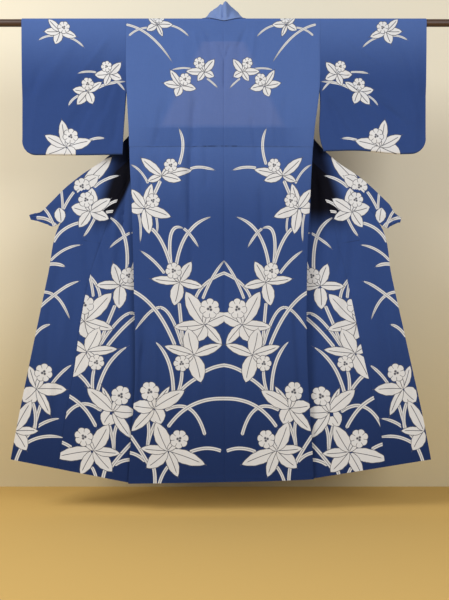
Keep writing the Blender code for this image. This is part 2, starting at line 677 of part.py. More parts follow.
def side_bands(side):
    """One side's lines across the collar, from its drawn-out end up to the shoulder point."""
    turned = np.array([side, 1.0, 1.0])
    share = np.linspace(0.0, 1.0, COLLAR_AROUND)[:, None]
    lines = []
    for row in COLLAR_TIP[side][::-1]:
        sewn, fold = np.array(row[:3]) * turned, np.array(row[3:]) * turned
        lines.append(sewn + (fold - sewn) * share)
    for below in COLLAR_STATIONS[::-1] + DROP_STATIONS[:0:-1]:
        edge, lead = panel_edge(side, below)
        way, width = drop_way(side, below)
        lines.append(band(edge, lead, edge + way * width))
    way, width = drop_way(side, 0.0)
    for row in STAND:
        edge = np.array(row) * turned
        lead = unit(np.array([0.0, max(edge[1], 0.0), max(edge[2], 0.0)]) + way * 0.01)
        lines.append(band(edge, lead, edge + unit(way + lead * 0.2) * width))
    return lines


def build_collar():
    """One folded band from the left front's end, round the back of the neck, to the right front's end."""
    half = np.array(NECK_PLACES[1:-1]) * SIDE_EDGE[LEFT][0][1] / NECK_HALF
    neck = [neck_band(place) for place in (-0.95, *-half[::-1], 0.0, *half, 0.95)]
    grid = np.array(side_bands(LEFT) + neck + side_bands(RIGHT)[::-1])
    cloth("collar", grid, wall=COLLAR_WALL)


def build_rod():
    """The wooden rod, a plain round bar along X with its rims eased."""
    half = ROD_LENGTH / 2
    places = np.array([-half, -half + ROD_CHAMFER, half - ROD_CHAMFER, half])
    radii = np.array([ROD_RADIUS - ROD_CHAMFER, ROD_RADIUS, ROD_RADIUS, ROD_RADIUS - ROD_CHAMFER])
    turn = np.linspace(0.0, 2 * math.pi, ROD_SIDES, endpoint=False)
    ring = np.stack([np.zeros_like(turn), np.cos(turn), np.sin(turn)], -1)
    along = places[:, None, None] * np.array([1.0, 0.0, 0.0])
    points = (ring[None] * radii[:, None, None] + along).reshape(-1, 3)
    numbers = np.arange(len(points)).reshape(len(places), ROD_SIDES)
    faces = [strip_faces(numbers[i], numbers[i + 1], True).tolist() for i in range(len(places) - 1)]
    flat = [face[::-1] for group in faces for face in group]
    flat.append(numbers[0].tolist())
    flat.append(numbers[-1].tolist()[::-1])
    mesh = bpy.data.meshes.new("rod")
    mesh.from_pydata(points.tolist(), [], [face[::-1] for face in flat])
    mesh.materials.append(material_of("rod", ROD_COLOUR, ROD_ROUGHNESS))
    mesh.update()
    thing = bpy.data.objects.new("rod", mesh)
    bpy.context.scene.collection.objects.link(thing)


def clear_scene():
    for thing in list(bpy.data.objects):
        bpy.data.objects.remove(thing, do_unlink=True)


def main():
    clear_scene()
    build_rod()
    build_backs()
    build_fronts()
    build_overlaps()
    build_sleeves()
    build_collar()


main()
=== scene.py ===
"""Cotton yukata robe on its rod: the cloth's fine form, its dyed print, the wood and the light.

Metres, +Z up. The origin is the middle of the rod's axis. The robe's back faces -Y and the wearer's left is at -X.
The print is charted in squares of one pixel of the photograph: u outwards from the centre seam, v down from the
The chart's places were measured on the photograph's left half. The outlines are formulas.
"""

from __future__ import annotations

import logging
import math
from collections.abc import Callable, Sequence
from dataclasses import dataclass
from enum import Enum
from typing import Any

import bpy
import numpy as np
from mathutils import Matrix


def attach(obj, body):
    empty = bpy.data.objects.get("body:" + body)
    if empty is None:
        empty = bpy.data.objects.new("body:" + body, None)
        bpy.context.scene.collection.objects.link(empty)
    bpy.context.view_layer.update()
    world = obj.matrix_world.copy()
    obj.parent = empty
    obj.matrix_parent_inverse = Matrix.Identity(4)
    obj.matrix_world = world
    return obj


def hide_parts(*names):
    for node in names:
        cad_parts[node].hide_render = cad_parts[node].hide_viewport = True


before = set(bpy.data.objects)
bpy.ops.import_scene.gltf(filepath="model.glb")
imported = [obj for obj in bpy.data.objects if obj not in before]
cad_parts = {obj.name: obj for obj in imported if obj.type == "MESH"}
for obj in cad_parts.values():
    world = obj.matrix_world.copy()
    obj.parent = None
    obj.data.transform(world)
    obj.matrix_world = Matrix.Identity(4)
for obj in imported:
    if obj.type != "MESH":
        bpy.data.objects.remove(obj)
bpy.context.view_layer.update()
LOG = logging.getLogger("yukata")
Colour = tuple[float, float, float, float]
Place = tuple[float, float, float]
Coordinates = Callable[[np.ndarray], np.ndarray]
Shape = tuple[np.ndarray, np.ndarray, Coordinates]


class Side(Enum):
    """The wearer's two sides. The value is the sign of X."""

    LEFT = -1
    RIGHT = 1

    @property
    def word(self) -> str:
        """The side's word in piece names."""
        return self.name.lower()


class Kind(Enum):
    """The chart's kinds of shapes, the lowest first. The value is how many of them one patch may carry."""

    LEAF = 2
    PETAL = 4
    LIP = 1

    @property
    def word(self) -> str:
        """The kind's word in attribute names."""
        return self.name.lower()


# Measures of the rod, the cloth and the seams, in metres. The last one, the chart's square, is one pixel of the
# photograph in the rod's plane.
ROD_RADIUS = 0.012
ROD_LENGTH = 1.50
CLOTH_WALL = 0.0012
COLLAR_WALL = 0.0030
HANG_RADIUS = 0.01335
COLLAR_RADIUS = 0.0143
QUARTER_TURN = math.pi * HANG_RADIUS / 2
SEAM_GAP = 0.0003
NECK_HALF = 0.0755
NECK_LOW_ANGLE = math.radians(12)
NECK_SHAPE = 1.3
CENTRE_SEAM_TOP = -0.0016
CENTRE_SEAM_HEM = 0.0030
BACK_LENGTH = 1.5067
BACK_WIDTH = 0.30
EDGE_CURL = 0.003
FOLD_STARTS = 0.050
OVERLAP_TOP = 0.262
OVERLAP_WIDTH = 0.16
SLEEVE_INNER = 0.33
SLEEVE_OUTER = 0.660
SLEEVE_CORNER = 0.045
CUFF_DEPTH = 0.23
SLEEVE_LOW_HALF = 0.0045
SLEEVE_PINCH = 0.0011
SLEEVE_PINCH_REACH = 0.035
COLLAR_CLEAR = 0.0020
COLLAR_LEAD = 0.30
SQUARE = 0.0032754
# Shares of the way up a sleeve's section where the bottom fold ends and where the turn over the rod starts.
SLEEVE_FOLD_ENDS = 0.12
SLEEVE_TURN_STARTS = 0.78
# Share of the way out where the sleeve's rounded corner starts.
SLEEVE_CORNER_STARTS = 0.86
# The baking map: the skins' halves above, the rims' quarters in a strip below.
MAP_GAP, MAP_WIDTH, MAP_LOW, MAP_HEIGHT = 0.003, 0.494, 0.040, 0.955
RIM_LOW, RIM_HIGH, RIM_WIDTH = 0.004, 0.032, 0.24
# Straight pieces that stand for a leaf's curve.
LEAF_CHORDS = 28
# Where a covered end cuts a leaf's taper, and how fast its coordinates run out past a cut end.
LEAF_CUT = 0.3
LEAF_PAST = 12.0

# Back panel's free edge: height, half width of the body there.
SIDE_EDGE_COLUMNS = ("z", "width")
SIDE_EDGE = {
    Side.LEFT: (
        (0.02, 0.3203),
        (-0.10, 0.3198),
        (-0.21, 0.3185),
        (-0.35, 0.3111),
        (-0.45, 0.3077),
        (-0.60, 0.3008),
        (-0.75, 0.2965),
        (-0.90, 0.2934),
        (-1.05, 0.2900),
        (-1.20, 0.2915),
        (-1.35, 0.3030),
        (-1.52, 0.3131),
    ),
    Side.RIGHT: (
        (0.02, 0.3131),
        (-0.10, 0.3130),
        (-0.21, 0.3125),
        (-0.35, 0.2955),
        (-0.45, 0.2875),
        (-0.60, 0.2799),
        (-0.75, 0.2724),
        (-0.90, 0.2697),
        (-1.05, 0.2700),
        (-1.20, 0.2760),
        (-1.35, 0.2858),
        (-1.52, 0.2936),
    ),
}

# Hem of the back: sideways place, height.
HEM_COLUMNS = ("x", "z")
HEM = (
    (-0.3131, -1.5067),
    (-0.1703, -1.5041),
    (0.0033, -1.5008),
    (0.1441, -1.4978),
    (0.2936, -1.4923),
)

# Front panel by the cloth's distance below the shoulder: fold line behind the back, overlap seam, outer edge.
FRONT_COLUMNS = ("below", "fold", "seam", "edge", "edge_z")
FRONT = {
    Side.LEFT: (
        (0.000, 0.0760, 0.0760, 0.0760, 0.0131),
        (0.021, 0.0760, 0.0762, 0.0762, -0.0003),
        (0.050, 0.0790, 0.0860, 0.0860, -0.0300),
        (0.084, 0.0880, 0.1030, 0.1030, -0.0660),
        (0.130, 0.1030, 0.1270, 0.1270, -0.1150),
        (0.180, 0.1175, 0.1504, 0.1504, -0.1728),
        (0.230, 0.1292, 0.1725, 0.1725, -0.2238),
        (0.270, 0.1360, 0.1803, 0.1903, -0.2646),
        (0.340, 0.1450, 0.2070, 0.2326, -0.3317),
        (0.400, 0.1560, 0.2350, 0.2689, -0.3891),
        (0.507, 0.1800, 0.2980, 0.3537, -0.4756),
        (0.592, 0.2046, 0.3396, 0.4319, -0.5318),
        (0.673, 0.2250, 0.3695, 0.4993, -0.5940),
        (0.757, 0.2390, 0.4012, 0.5486, -0.6747),
        (0.900, 0.2519, 0.4455, 0.5769, -0.8149),
        (1.050, 0.2631, 0.4737, 0.6073, -0.9622),
        (1.200, 0.2760, 0.4923, 0.6374, -1.1095),
        (1.350, 0.2930, 0.5184, 0.6670, -1.2569),
        (1.527, 0.3070, 0.5429, 0.7000, -1.4300),
    ),
    Side.RIGHT: (
        (0.000, 0.0760, 0.0760, 0.0760, 0.0131),
        (0.021, 0.0760, 0.0762, 0.0762, -0.0003),
        (0.050, 0.0780, 0.0850, 0.0850, -0.0300),
        (0.084, 0.0860, 0.1010, 0.1010, -0.0660),
        (0.130, 0.0990, 0.1230, 0.1230, -0.1170),
        (0.180, 0.1121, 0.1454, 0.1454, -0.1730),
        (0.230, 0.1235, 0.1669, 0.1669, -0.2238),
        (0.270, 0.1271, 0.1747, 0.1847, -0.2645),
        (0.340, 0.1310, 0.1931, 0.2181, -0.3353),
        (0.400, 0.1380, 0.2150, 0.2485, -0.3953),
        (0.507, 0.1590, 0.2780, 0.3307, -0.4821),
        (0.592, 0.1819, 0.3231, 0.4079, -0.5382),
        (0.673, 0.2028, 0.3541, 0.4722, -0.6009),
        (0.757, 0.2157, 0.3730, 0.5241, -0.6796),
        (0.900, 0.2270, 0.4081, 0.5501, -0.8224),
        (1.050, 0.2410, 0.4387, 0.5828, -0.9712),
        (1.200, 0.2573, 0.4704, 0.6152, -1.1200),
        (1.350, 0.2750, 0.5073, 0.6480, -1.2689),
        (1.513, 0.2875, 0.5283, 0.6793, -1.4300),
    ),
}

# Depth of the front's layers by the distance below the shoulder, positive away from the robe's back.
DEPTH_COLUMNS = ("below", "side", "inner", "outer", "edge")
DEPTH = (
    (0.000, 0.0000, 0.0000, 0.0000, 0.0000),
    (0.021, 0.0131, 0.0131, 0.0132, 0.0132),
    (0.050, 0.0131, 0.0131, 0.0215, 0.0225),
    (0.084, 0.0131, 0.0131, 0.0265, 0.0295),
    (0.130, 0.0131, 0.0131, 0.0280, 0.0325),
    (0.200, 0.0131, 0.0131, 0.0290, 0.0350),
    (0.270, 0.0100, 0.0125, 0.0290, 0.0360),
    (0.320, -0.0040, 0.0100, 0.0280, 0.0350),
    (0.370, -0.0088, 0.0080, 0.0270, 0.0330),
    (0.507, -0.0088, 0.0070, 0.0260, 0.0300),
    (0.673, -0.0088, 0.0060, 0.0240, 0.0180),
    (0.757, -0.0088, 0.0055, 0.0230, 0.0130),
    (1.050, -0.0088, 0.0030, 0.0170, 0.0080),
    (1.350, -0.0088, -0.0035, 0.0050, 0.0040),
    (1.540, -0.0088, -0.0060, -0.0020, 0.0040),
)

# Slit between the sleeve and the body below the armhole: height, how wide it stands open.
SLIT_COLUMNS = ("z", "open")
SLIT = {
    Side.LEFT: ((-0.21, 0.0), (-0.27, 0.0075), (-0.35, 0.0174), (-0.44, 0.0253)),
    Side.RIGHT: ((-0.21, 0.0), (-0.27, 0.0085), (-0.38, 0.0225), (-0.44, 0.0460)),
}

# Sleeve's bottom fold: half width, height.
SLEEVE_BOTTOM_COLUMNS = ("width", "z")
SLEEVE_BOTTOM = {
    Side.LEFT: ((0.31, -0.4300), (0.45, -0.4325), (0.60, -0.4322), (0.66, -0.4322)),
    Side.RIGHT: ((0.31, -0.4205), (0.45, -0.4180), (0.57, -0.4290), (0.66, -0.4258)),
}

# Soft creases: x_top, z_top, x_bottom, z_bottom, across, depth (positive is a valley seen from the back).
BACK_CREASES = (
    (-0.098, -0.16, -0.112, -0.95, 0.013, 0.0050),
    (-0.180, -0.20, -0.215, -0.50, 0.014, 0.0024),
    (-0.245, -0.90, -0.282, -1.30, 0.022, 0.0070),
    (-0.055, -0.02, -0.030, -0.20, 0.010, 0.0022),
    (-0.150, -0.04, -0.100, -0.30, 0.014, -0.0022),
    (0.060, -0.02, 0.035, -0.22, 0.010, 0.0020),
    (0.195, -0.22, 0.212, -0.48, 0.013, 0.0022),
    (0.120, -0.50, 0.135, -1.10, 0.020, 0.0036),
    (0.248, -0.85, 0.262, -1.30, 0.016, 0.0045),
    (-0.165, -0.60, -0.175, -1.40, 0.022, -0.0035),
    (0.000, -0.40, 0.003, -1.45, 0.010, 0.0028),
)
SLEEVE_CREASES = {
    Side.LEFT: (
        (-0.350, -0.05, -0.560, -0.46, 0.018, 0.0030),
        (-0.335, -0.12, -0.440, -0.46, 0.016, -0.0030),
        (-0.480, -0.03, -0.640, -0.30, 0.024, -0.0025),
        (-0.345, -0.25, -0.380, -0.46, 0.012, 0.0028),
    ),
    Side.RIGHT: (
        (0.350, -0.06, 0.640, -0.40, 0.020, 0.0038),
        (0.340, -0.17, 0.560, -0.46, 0.018, -0.0030),
        (0.330, -0.24, 0.430, -0.46, 0.014, 0.0034),
        (0.520, -0.03, 0.655, -0.22, 0.022, -0.0026),
    ),
}
FRONT_CREASES = {
    Side.LEFT: (
        (-0.330, -0.50, -0.345, -0.86, 0.018, 0.0070),
        (-0.395, -0.78, -0.370, -1.42, 0.022, -0.0065),
        (-0.340, -0.95, -0.345, -1.45, 0.016, 0.0055),
        (-0.540, -0.70, -0.560, -1.38, 0.020, 0.0045),
        (-0.500, -0.80, -0.600, -1.40, 0.018, -0.0040),
        (-0.470, -0.62, -0.420, -1.00, 0.016, 0.0040),
    ),
    Side.RIGHT: (
        (0.310, -0.50, 0.330, -0.90, 0.018, 0.0080),
        (0.375, -0.80, 0.360, -1.42, 0.020, -0.0060),
        (0.320, -0.95, 0.325, -1.45, 0.016, 0.0050),
        (0.480, -0.70, 0.590, -1.38, 0.020, 0.0045),
        (0.540, -0.85, 0.640, -1.40, 0.016, -0.0040),
        (0.430, -0.62, 0.400, -1.00, 0.016, 0.0040),
    ),
}

# Collar behind the back neck, by its place between the middle (0) and the shoulder point (1).
NECK_COLUMNS = ("place", "sideways", "backward", "up", "width")
NECK_COLLAR = (
    (0.00, 0.00, 0.10, 1.00, 0.0655),
    (0.25, 0.02, 0.42, 0.90, 0.0620),
    (0.50, -0.02, 0.69, 0.72, 0.0610),
    (0.75, -0.14, 0.79, 0.60, 0.0600),
    (1.00, -0.34, 0.86, 0.38, 0.0570),
)
# Collar along the front, by the cloth's distance below the shoulder: the band's way from its sewn edge, and its width.
DROP_COLUMNS = ("below", "outward", "backward", "up", "width")
DROP_COLLAR = (
    (0.020, -0.32, 0.90, 0.26, 0.0560),
    (0.050, 0.30, 0.92, 0.10, 0.0555),
    (0.084, 0.60, 0.74, 0.22, 0.0550),
    (0.150, 0.80, 0.42, 0.38, 0.0550),
    (0.230, 0.86, 0.20, 0.48, 0.0550),
    (0.340, 0.84, 0.08, 0.55, 0.0550),
    (0.450, 0.74, 0.02, 0.67, 0.0550),
    (0.592, 0.68, 0.00, 0.73, 0.0550),
    (0.690, 0.66, 0.00, 0.75, 0.0600),
    (0.757, 0.70, 0.02, 0.72, 0.0740),
)
# Drawn-out end of the collar: sewn_width, sewn_y, sewn_z, fold_width, fold_y, fold_z.
COLLAR_TIP = {
    Side.LEFT: (
        (0.5640, 0.0165, -0.6640, 0.6080, 0.0160, -0.6185),
        (0.5850, 0.0185, -0.6560, 0.6170, 0.0175, -0.6200),
        (0.6120, 0.0150, -0.6470, 0.6300, 0.0140, -0.6235),
        (0.6360, 0.0120, -0.6415, 0.6405, 0.0120, -0.6275),
    ),
    Side.RIGHT: (
        (0.5380, 0.0165, -0.6700, 0.5620, 0.0160, -0.6200),
        (0.5500, 0.0185, -0.6620, 0.5690, 0.0175, -0.6250),
        (0.5640, 0.0150, -0.6550, 0.5760, 0.0140, -0.6310),
        (0.5800, 0.0120, -0.6500, 0.5840, 0.0120, -0.6360),
    ),
}
# Collar on the rod's far side at the shoulder point, where it stands on its sewn edge: width, y, z.
STAND = (
    (0.0762, 0.0205, -0.0120),
    (0.0738, 0.0137, 0.0020),
    (0.0738, 0.0108, 0.0080),
    (0.0738, 0.0066, 0.0122),
)
# Rod's eased end: distance from the end, radius.
ROD_END = ((0.0, 0.0), (0.0, 0.0045), (0.0, 0.0082), (0.0004, 0.0104), (0.0012, 0.0114), (0.0024, 0.012))

# The print's chart: places measured on the photograph's left half, in its pixels (u = 224 - x, v = y - 23),
# the lowest flower first. A flower: its heart (u, v); its lip (u, v, radius) or None; its petals, each by its tip
# (u, v) and its half width.
STRIP_FLOWERS = (
    ((66.5, 3), (64.7, -3.5, 5.0), ((75.4, -5.4, 3.0), (76.9, 8.7, 3.6), (61.1, 14.9, 2.4), (51.1, 3.4, 3.4))),
    ((19.5, 50), (24.7, 41.3, 5.2),
     ((9.7, 37.7, 3.8), (10.1, 54.9, 3.8), (26.1, 59.1, 3.2), (37.6, 49.9, 3.6))),
    ((43.3, 64), (38.7, 57.7, 5.8),
     ((53.3, 48.4, 3.4), (60.1, 61.3, 3.8), (47.6, 74.6, 4.2), (27.9, 67, 4.0))),
    ((62, 153.3), (53, 143, 6.4),
     ((82.4, 135.7, 4.6), (76.1, 158.9, 3.6), (42.6, 158.4, 4.2), (32, 147.4, 4.4))),
    ((78.8, 185.5), (70.7, 178.2, 6.6),
     ((92.0, 167, 4.6), (71.9, 161.5, 4.4), (53, 194.4, 5.2), (74.4, 211.2, 5.4), (95, 185, 6.2))),
    ((44.3, 259), (50.2, 248, 7.6), ((72.2, 256, 4.2), (32.6, 239, 5.2), (21, 264, 4.4), (49.4, 282.4, 6.4))),
    ((19.5, 301.4), (14.2, 285.5, 9.4),
     ((38, 269, 7.6), (49.7, 304, 5.0), (29.4, 318, 8.0), (2.3, 321, 5.0), (-4, 291, 6.4))),
    ((30.3, 331.5), (42.2, 340.1, 7.6), ((59, 323, 4.6), (36, 305.7, 7.4), (2, 321.5, 4.8), (23, 358.8, 7.6))),
    ((69.7, 384.6), (74, 368, 9.2),
     ((39.6, 367.4, 6.6), (54, 363, 3.2), (92.0, 382, 6.4), (92, 407.6, 5.4), (62.5, 400, 8.0))),
    ((56.1, 427), (44.6, 415.5, 8.8),
     ((67.6, 399, 7.2), (82.7, 424.8, 4.6), (77, 444, 7.0), (46, 452.8, 5.6), (19, 440.6, 6.6))),
)
SLEEVE_FLOWERS = (
    ((162.8, 10), (159.4, 6.0, 5.8),
     ((174.7, -2.3, 3.4), (178.7, 10.1, 3.8), (167.6, 22.4, 4.4), (146.9, 15.3, 3.8))),
    ((113.5, 52.1), (117.1, 44.4, 5.2),
     ((102.6, 40.6, 4.0), (102.1, 57, 4.0), (118.7, 63.4, 3.4), (128.7, 52.7, 4.2))),
    ((135.5, 69.3), (135.9, 61.6, 5.8),
     ((121.9, 59.9, 3.6), (131.1, 81.3, 4.4), (146.6, 82, 4.2), (150.7, 67.3, 4.0))),
    ((157.3, 124), (153.3, 113.4, 7.2),
     ((161.9, 97.4, 5.0), (178.6, 112.7, 4.8), (178, 132, 8.0), (150, 136, 6.0), (132.5, 118, 5.4))),
)
EDGE_FLOWERS = (
    ((143, 161.9), (143.4, 161.9, 7.8), ((127, 151.5, 6.0), (113.7, 132, 6.4))),
    ((134.9, 187.4), (139.1, 175.5, 7.4),
     ((114.5, 174.6, 5.2), (116.2, 195, 5.4), (145.9, 203.5, 5.0), (153.6, 183.1, 6.6), (133.2, 163.6, 6.4))),
    ((166, 184.0), None, ((164, 199.5, 5.4),)),
    ((187.6, 365.9), (180.8, 349.7, 8.6),
     ((157.8, 366.7, 6.2), (174, 392.2, 4.6), (195.2, 342.9, 4.6), (201.2, 378.5, 8.4))),
    ((209.5, 408), None, ((193, 377.8, 6.0), (186, 408, 4.2), (197.8, 427.2, 6.8))),
)
# Leaves and stems: start, middle and end of a bent line (u, v each), half width, and which ends lie under a flower
# and keep their full width there (0 none, 1 the start, 2 the end, 3 both).
STRIP_LEAVES = (
    (96.1, 3.4, 72, 8.4, 51.9, 39.9, 1.5, 1),
    (94, 13.9, 87, 7, 76.6, 6.3, 1.3, 3),
    (52.9, 4.1, 43, 6, 34.7, 15.3, 1.3, 1),
    (51.9, 48.3, 43, 45.6, 33, 47.2, 1.2, 2),
    (16.9, 57, 12, 60, 6.1, 66.3, 1.2, 1),
    (44.3, 141.5, 37, 121, 45, 106.3, 1.9, 1),
    (33.3, 145.7, 21, 143.5, 9.1, 148.0, 1.8, 1),
    (75.8, 160.6, 82, 147, 92.7, 142.3, 1.5, 1),
    (63.5, 159, 68, 169, 71.5, 176, 2.3, 3),
    (71.4, 206.6, 61, 216, 53.8, 239.8, 2.2, 3),
    (85, 192, 82, 204, 83.4, 219, 1.5, 1),
    (68, 192, 65.5, 201, 66.6, 211, 1.5, 1),
    (52.8, 241, 58, 197, 40, 206, 2.2, 1),
    (40, 206, 33, 211, 25.2, 224.7, 1.8, 1),
    (47.2, 241, 41, 202, 12.8, 194.4, 2.2, 1),
    (59.7, 250, 69, 237, 83.2, 228, 1.9, 1),
    (20.8, 275, 13, 254, -0.4, 237.4, 1.9, 1),
    (28.2, 275, 21.9, 258.2, -2, 249.4, 2.0, 3),
    (91, 268, 66, 280, 49.4, 320.6, 2.3, 3),
    (88.4, 307, 74, 285, 64, 284.5, 1.9, 2),
    (64, 284.5, 53, 284.5, 42.5, 320, 2.0, 3),
    (68.3, 318.6, 51, 334, 50.4, 367, 2.3, 2),
    (42, 343, 41, 355, 45, 367, 2.1, 2),
    (26, 353, 13, 342.4, -3, 341.8, 2.3, 2),
    (24, 353, 34, 358, 42, 366, 2.3, 3),
    (54.7, 402, 34, 373, -2, 375.3, 2.3, 3),
    (57, 386, 30, 373, 19.5, 409.7, 2.2, 3),
    (33.2, 428, 18, 421.5, 3.5, 427, 2.2, 3),
    (76, 397, 73, 410, 77.4, 423, 2.1, 1),
    (67.5, 397, 75, 413, 77, 427, 2.1, 3),
    (70.5, 441, 67.8, 453, 69, 463, 2.3, 3),
    (56, 443, 63, 452, 65, 463, 2.1, 3),
    (75.6, 439.7, 83, 426, 93.0, 412.5, 2.3, 3),
    (78.7, 437.4, 86, 430, 94.7, 429.0, 2.2, 3),
    (44.5, 281, 42.5, 300, 41, 322, 2.2, 3),
)
SLEEVE_LEAVES = (
    (184.4, 18.7, 178, 14, 169.6, 14.2, 1.3, 2),
    (153.6, 16.2, 146, 18.5, 139.1, 25.9, 1.3, 1),
    (145.4, 51.6, 137, 48.6, 127.6, 50.2, 1.3, 2),
    (109.6, 57.6, 104, 61, 98.8, 68.4, 1.3, 1),
    (155, 83.4, 152.6, 77, 145.2, 73.4, 1.5, 2),
    (129.6, 68.3, 119, 60, 97.6, 59.4, 1.7, 1),
    (136.7, 118.7, 128, 114.6, 118.7, 115.6, 1.7, 1),
)
EDGE_LEAVES = (
    (163.8, 167, 162.4, 177, 162.5, 185, 1.6, 3),
    (151.4, 168, 157, 175, 161.6, 185, 1.8, 3),
    (181.6, 184, 175, 190, 170, 205, 1.8, 3),
    (188, 194.2, 176, 193, 167.5, 204, 2.0, 3),
    (130.8, 162.6, 121, 153, 106, 150.8, 2.0, 1),
    (146.8, 199.3, 164, 204, 171.0, 218.1, 2.0, 3),
    (129.7, 193, 135, 205, 141.7, 212.9, 1.8, 1),
    (122.5, 185.4, 115, 178, 106.4, 176.3, 1.8, 3),
    (119, 188.4, 114, 187, 108, 187.4, 1.8, 3),
    (144.2, 221.4, 161, 223, 173.6, 236.8, 1.7, 2),
    (177.7, 241.5, 168, 239, 159.4, 243.4, 2.2, 1),
    (145.9, 257.9, 162, 262, 185.5, 284.6, 2.0, 2),
    (180.0, 268.8, 164, 270, 154.8, 296.2, 1.9, 1),
    (174.4, 301.3, 184, 303, 191, 313.5, 2.0, 2),
    (153.1, 342.1, 164, 349, 172, 360.5, 2.0, 2),
    (192.7, 377.6, 187, 389, 189.4, 405, 2.1, 3),
    (182, 377, 186, 389, 190.1, 405, 2.1, 3),
    (164.6, 395.6, 184, 397, 199, 415.5, 2.1, 2),
    (161, 414.8, 182, 410, 198, 420.4, 2.1, 2),
    (201, 421.7, 206, 430, 209, 440, 2.2, 3),
)

# Finer creases of the cloth as it hangs, in the same columns as the main ones.
BACK_FINE = (
    (-0.080, -0.005, -0.036, -0.085, 0.0050, 0.0030),
    (-0.100, -0.012, -0.075, -0.150, 0.0070, -0.0027),
    (-0.066, -0.010, -0.022, -0.050, 0.0040, -0.0023),
    (0.080, -0.005, 0.040, -0.095, 0.0050, 0.0029),
    (0.104, -0.014, 0.080, -0.160, 0.0070, -0.0025),
    (0.020, -0.070, 0.004, -0.124, 0.0035, 0.0034),
    (-0.018, -0.068, -0.002, -0.122, 0.0040, 0.0030),
    (0.001, -0.105, 0.002, -0.230, 0.0050, 0.0027),
    (-0.092, -0.240, -0.100, -0.430, 0.0090, 0.0040),
    (-0.105, -0.390, -0.118, -0.700, 0.0090, 0.0061),
    (-0.128, -0.360, -0.150, -0.620, 0.0120, -0.0038),
    (-0.060, -0.380, -0.056, -0.560, 0.0090, 0.0027),
    (-0.200, -0.260, -0.232, -0.440, 0.0090, 0.0030),
    (-0.262, -0.400, -0.272, -0.760, 0.0100, 0.0042),
    (-0.220, -0.980, -0.236, -1.300, 0.0130, -0.0049),
    (-0.262, -1.020, -0.286, -1.290, 0.0080, 0.0061),
    (0.120, -0.520, 0.128, -0.760, 0.0100, 0.0042),
    (0.090, -0.300, 0.110, -0.470, 0.0080, 0.0030),
    (0.150, -0.240, 0.160, -0.420, 0.0100, -0.0027),
    (0.200, -0.420, 0.190, -0.700, 0.0120, -0.0030),
    (0.232, -0.900, 0.246, -1.250, 0.0100, 0.0049),
    (0.060, -1.160, 0.066, -1.470, 0.0140, -0.0027),
    (-0.080, -1.120, -0.086, -1.480, 0.0150, -0.0030),
)
SLEEVE_FINE = {
    Side.LEFT: (
        (-0.332, -0.100, -0.400, -0.330, 0.0100, 0.0036),
        (-0.328, -0.190, -0.362, -0.440, 0.0070, 0.0032),
        (-0.360, -0.030, -0.500, -0.210, 0.0110, -0.0022),
        (-0.420, -0.240, -0.520, -0.440, 0.0130, 0.0029),
        (-0.600, -0.120, -0.648, -0.360, 0.0110, 0.0025),
    ),
    Side.RIGHT: (
        (0.345, -0.130, 0.590, -0.330, 0.0110, 0.0040),
        (0.330, -0.230, 0.430, -0.400, 0.0090, 0.0040),
        (0.360, -0.020, 0.520, -0.150, 0.0110, -0.0022),
        (0.470, -0.260, 0.600, -0.430, 0.0130, -0.0029),
        (0.590, -0.080, 0.650, -0.330, 0.0120, 0.0029),
    ),
}
FRONT_FINE = {
    Side.LEFT: (
        (-0.322, -0.460, -0.336, -0.720, 0.0090, 0.0054),
        (-0.352, -0.520, -0.372, -0.900, 0.0110, -0.0041),
        (-0.420, -0.560, -0.392, -0.860, 0.0100, 0.0030),
        (-0.378, -0.900, -0.364, -1.380, 0.0120, -0.0046),
        (-0.450, -0.900, -0.452, -1.380, 0.0130, 0.0035),
        (-0.560, -0.760, -0.600, -1.360, 0.0110, 0.0030),
        (-0.610, -0.900, -0.650, -1.380, 0.0110, 0.0035),
    ),
    Side.RIGHT: (
        (0.300, -0.460, 0.318, -0.740, 0.0090, 0.0059),
        (0.335, -0.520, 0.350, -0.900, 0.0110, -0.0038),
        (0.400, -0.560, 0.375, -0.860, 0.0100, 0.0030),
        (0.352, -0.900, 0.345, -1.380, 0.0120, -0.0041),
        (0.440, -0.900, 0.448, -1.380, 0.0130, 0.0032),
        (0.520, -0.760, 0.580, -1.360, 0.0110, 0.0030),
        (0.585, -0.900, 0.630, -1.380, 0.0110, 0.0032),
    ),
}
# Crumples of the collar behind the neck: place along X, how wide, how deep, lean with height.
NECK_FOLDS = (
    (-0.056, 0.0060, 0.0022, 0.35),
    (-0.040, 0.0050, -0.0020, 0.30),
    (-0.024, 0.0055, 0.0030, 0.20),
    (-0.013, 0.0040, -0.0028, 0.05),
    (-0.004, 0.0034, 0.0052, 0.00),
    (0.007, 0.0045, -0.0034, -0.05),
    (0.019, 0.0050, 0.0030, -0.20),
    (0.034, 0.0055, -0.0022, -0.25),
    (0.050, 0.0060, 0.0020, -0.35),
)
# Height that the neck's folded top loses or gains: place along X, how wide, how much.
NECK_TOP = (
    (-0.004, 0.0050, -0.0085),
    (-0.018, 0.0080, -0.0045),
    (0.008, 0.0060, 0.0016),
)
# Gathers at the collar's drawn-out ends: half width and height of the tip, reach, how many, how deep.
GATHERS = {Side.LEFT: (0.640, -0.634, 0.060, 15.0, 0.0030), Side.RIGHT: (0.582, -0.643, 0.055, 14.0, 0.0030)}
# Where the front's print starts, counted along the cloth from the side seam: squares down, metres.
PRINT_COLUMNS = ("down", "reach")
FRONT_PRINT = ((0.0, 0.2970), (259.0, 0.3016), (331.0, 0.3206), (385.0, 0.3267), (430.0, 0.3265))
# How far one piece reaches under its neighbour at the overlap's and the collar's seams.
SEAM_LAP = 0.0030
# How fast the ridge beside a seam falls away.
SEAM_FALL = 0.0022
# Height and half width of the stitched tuck across the back, and the rows that its ridge needs on either side.
BACK_TUCK = -0.4062
TUCK_HALF = 0.262
TUCK_ROWS = (-0.006, -0.0035, -0.0018, -0.0006, 0.0006, 0.0018, 0.0035, 0.006)


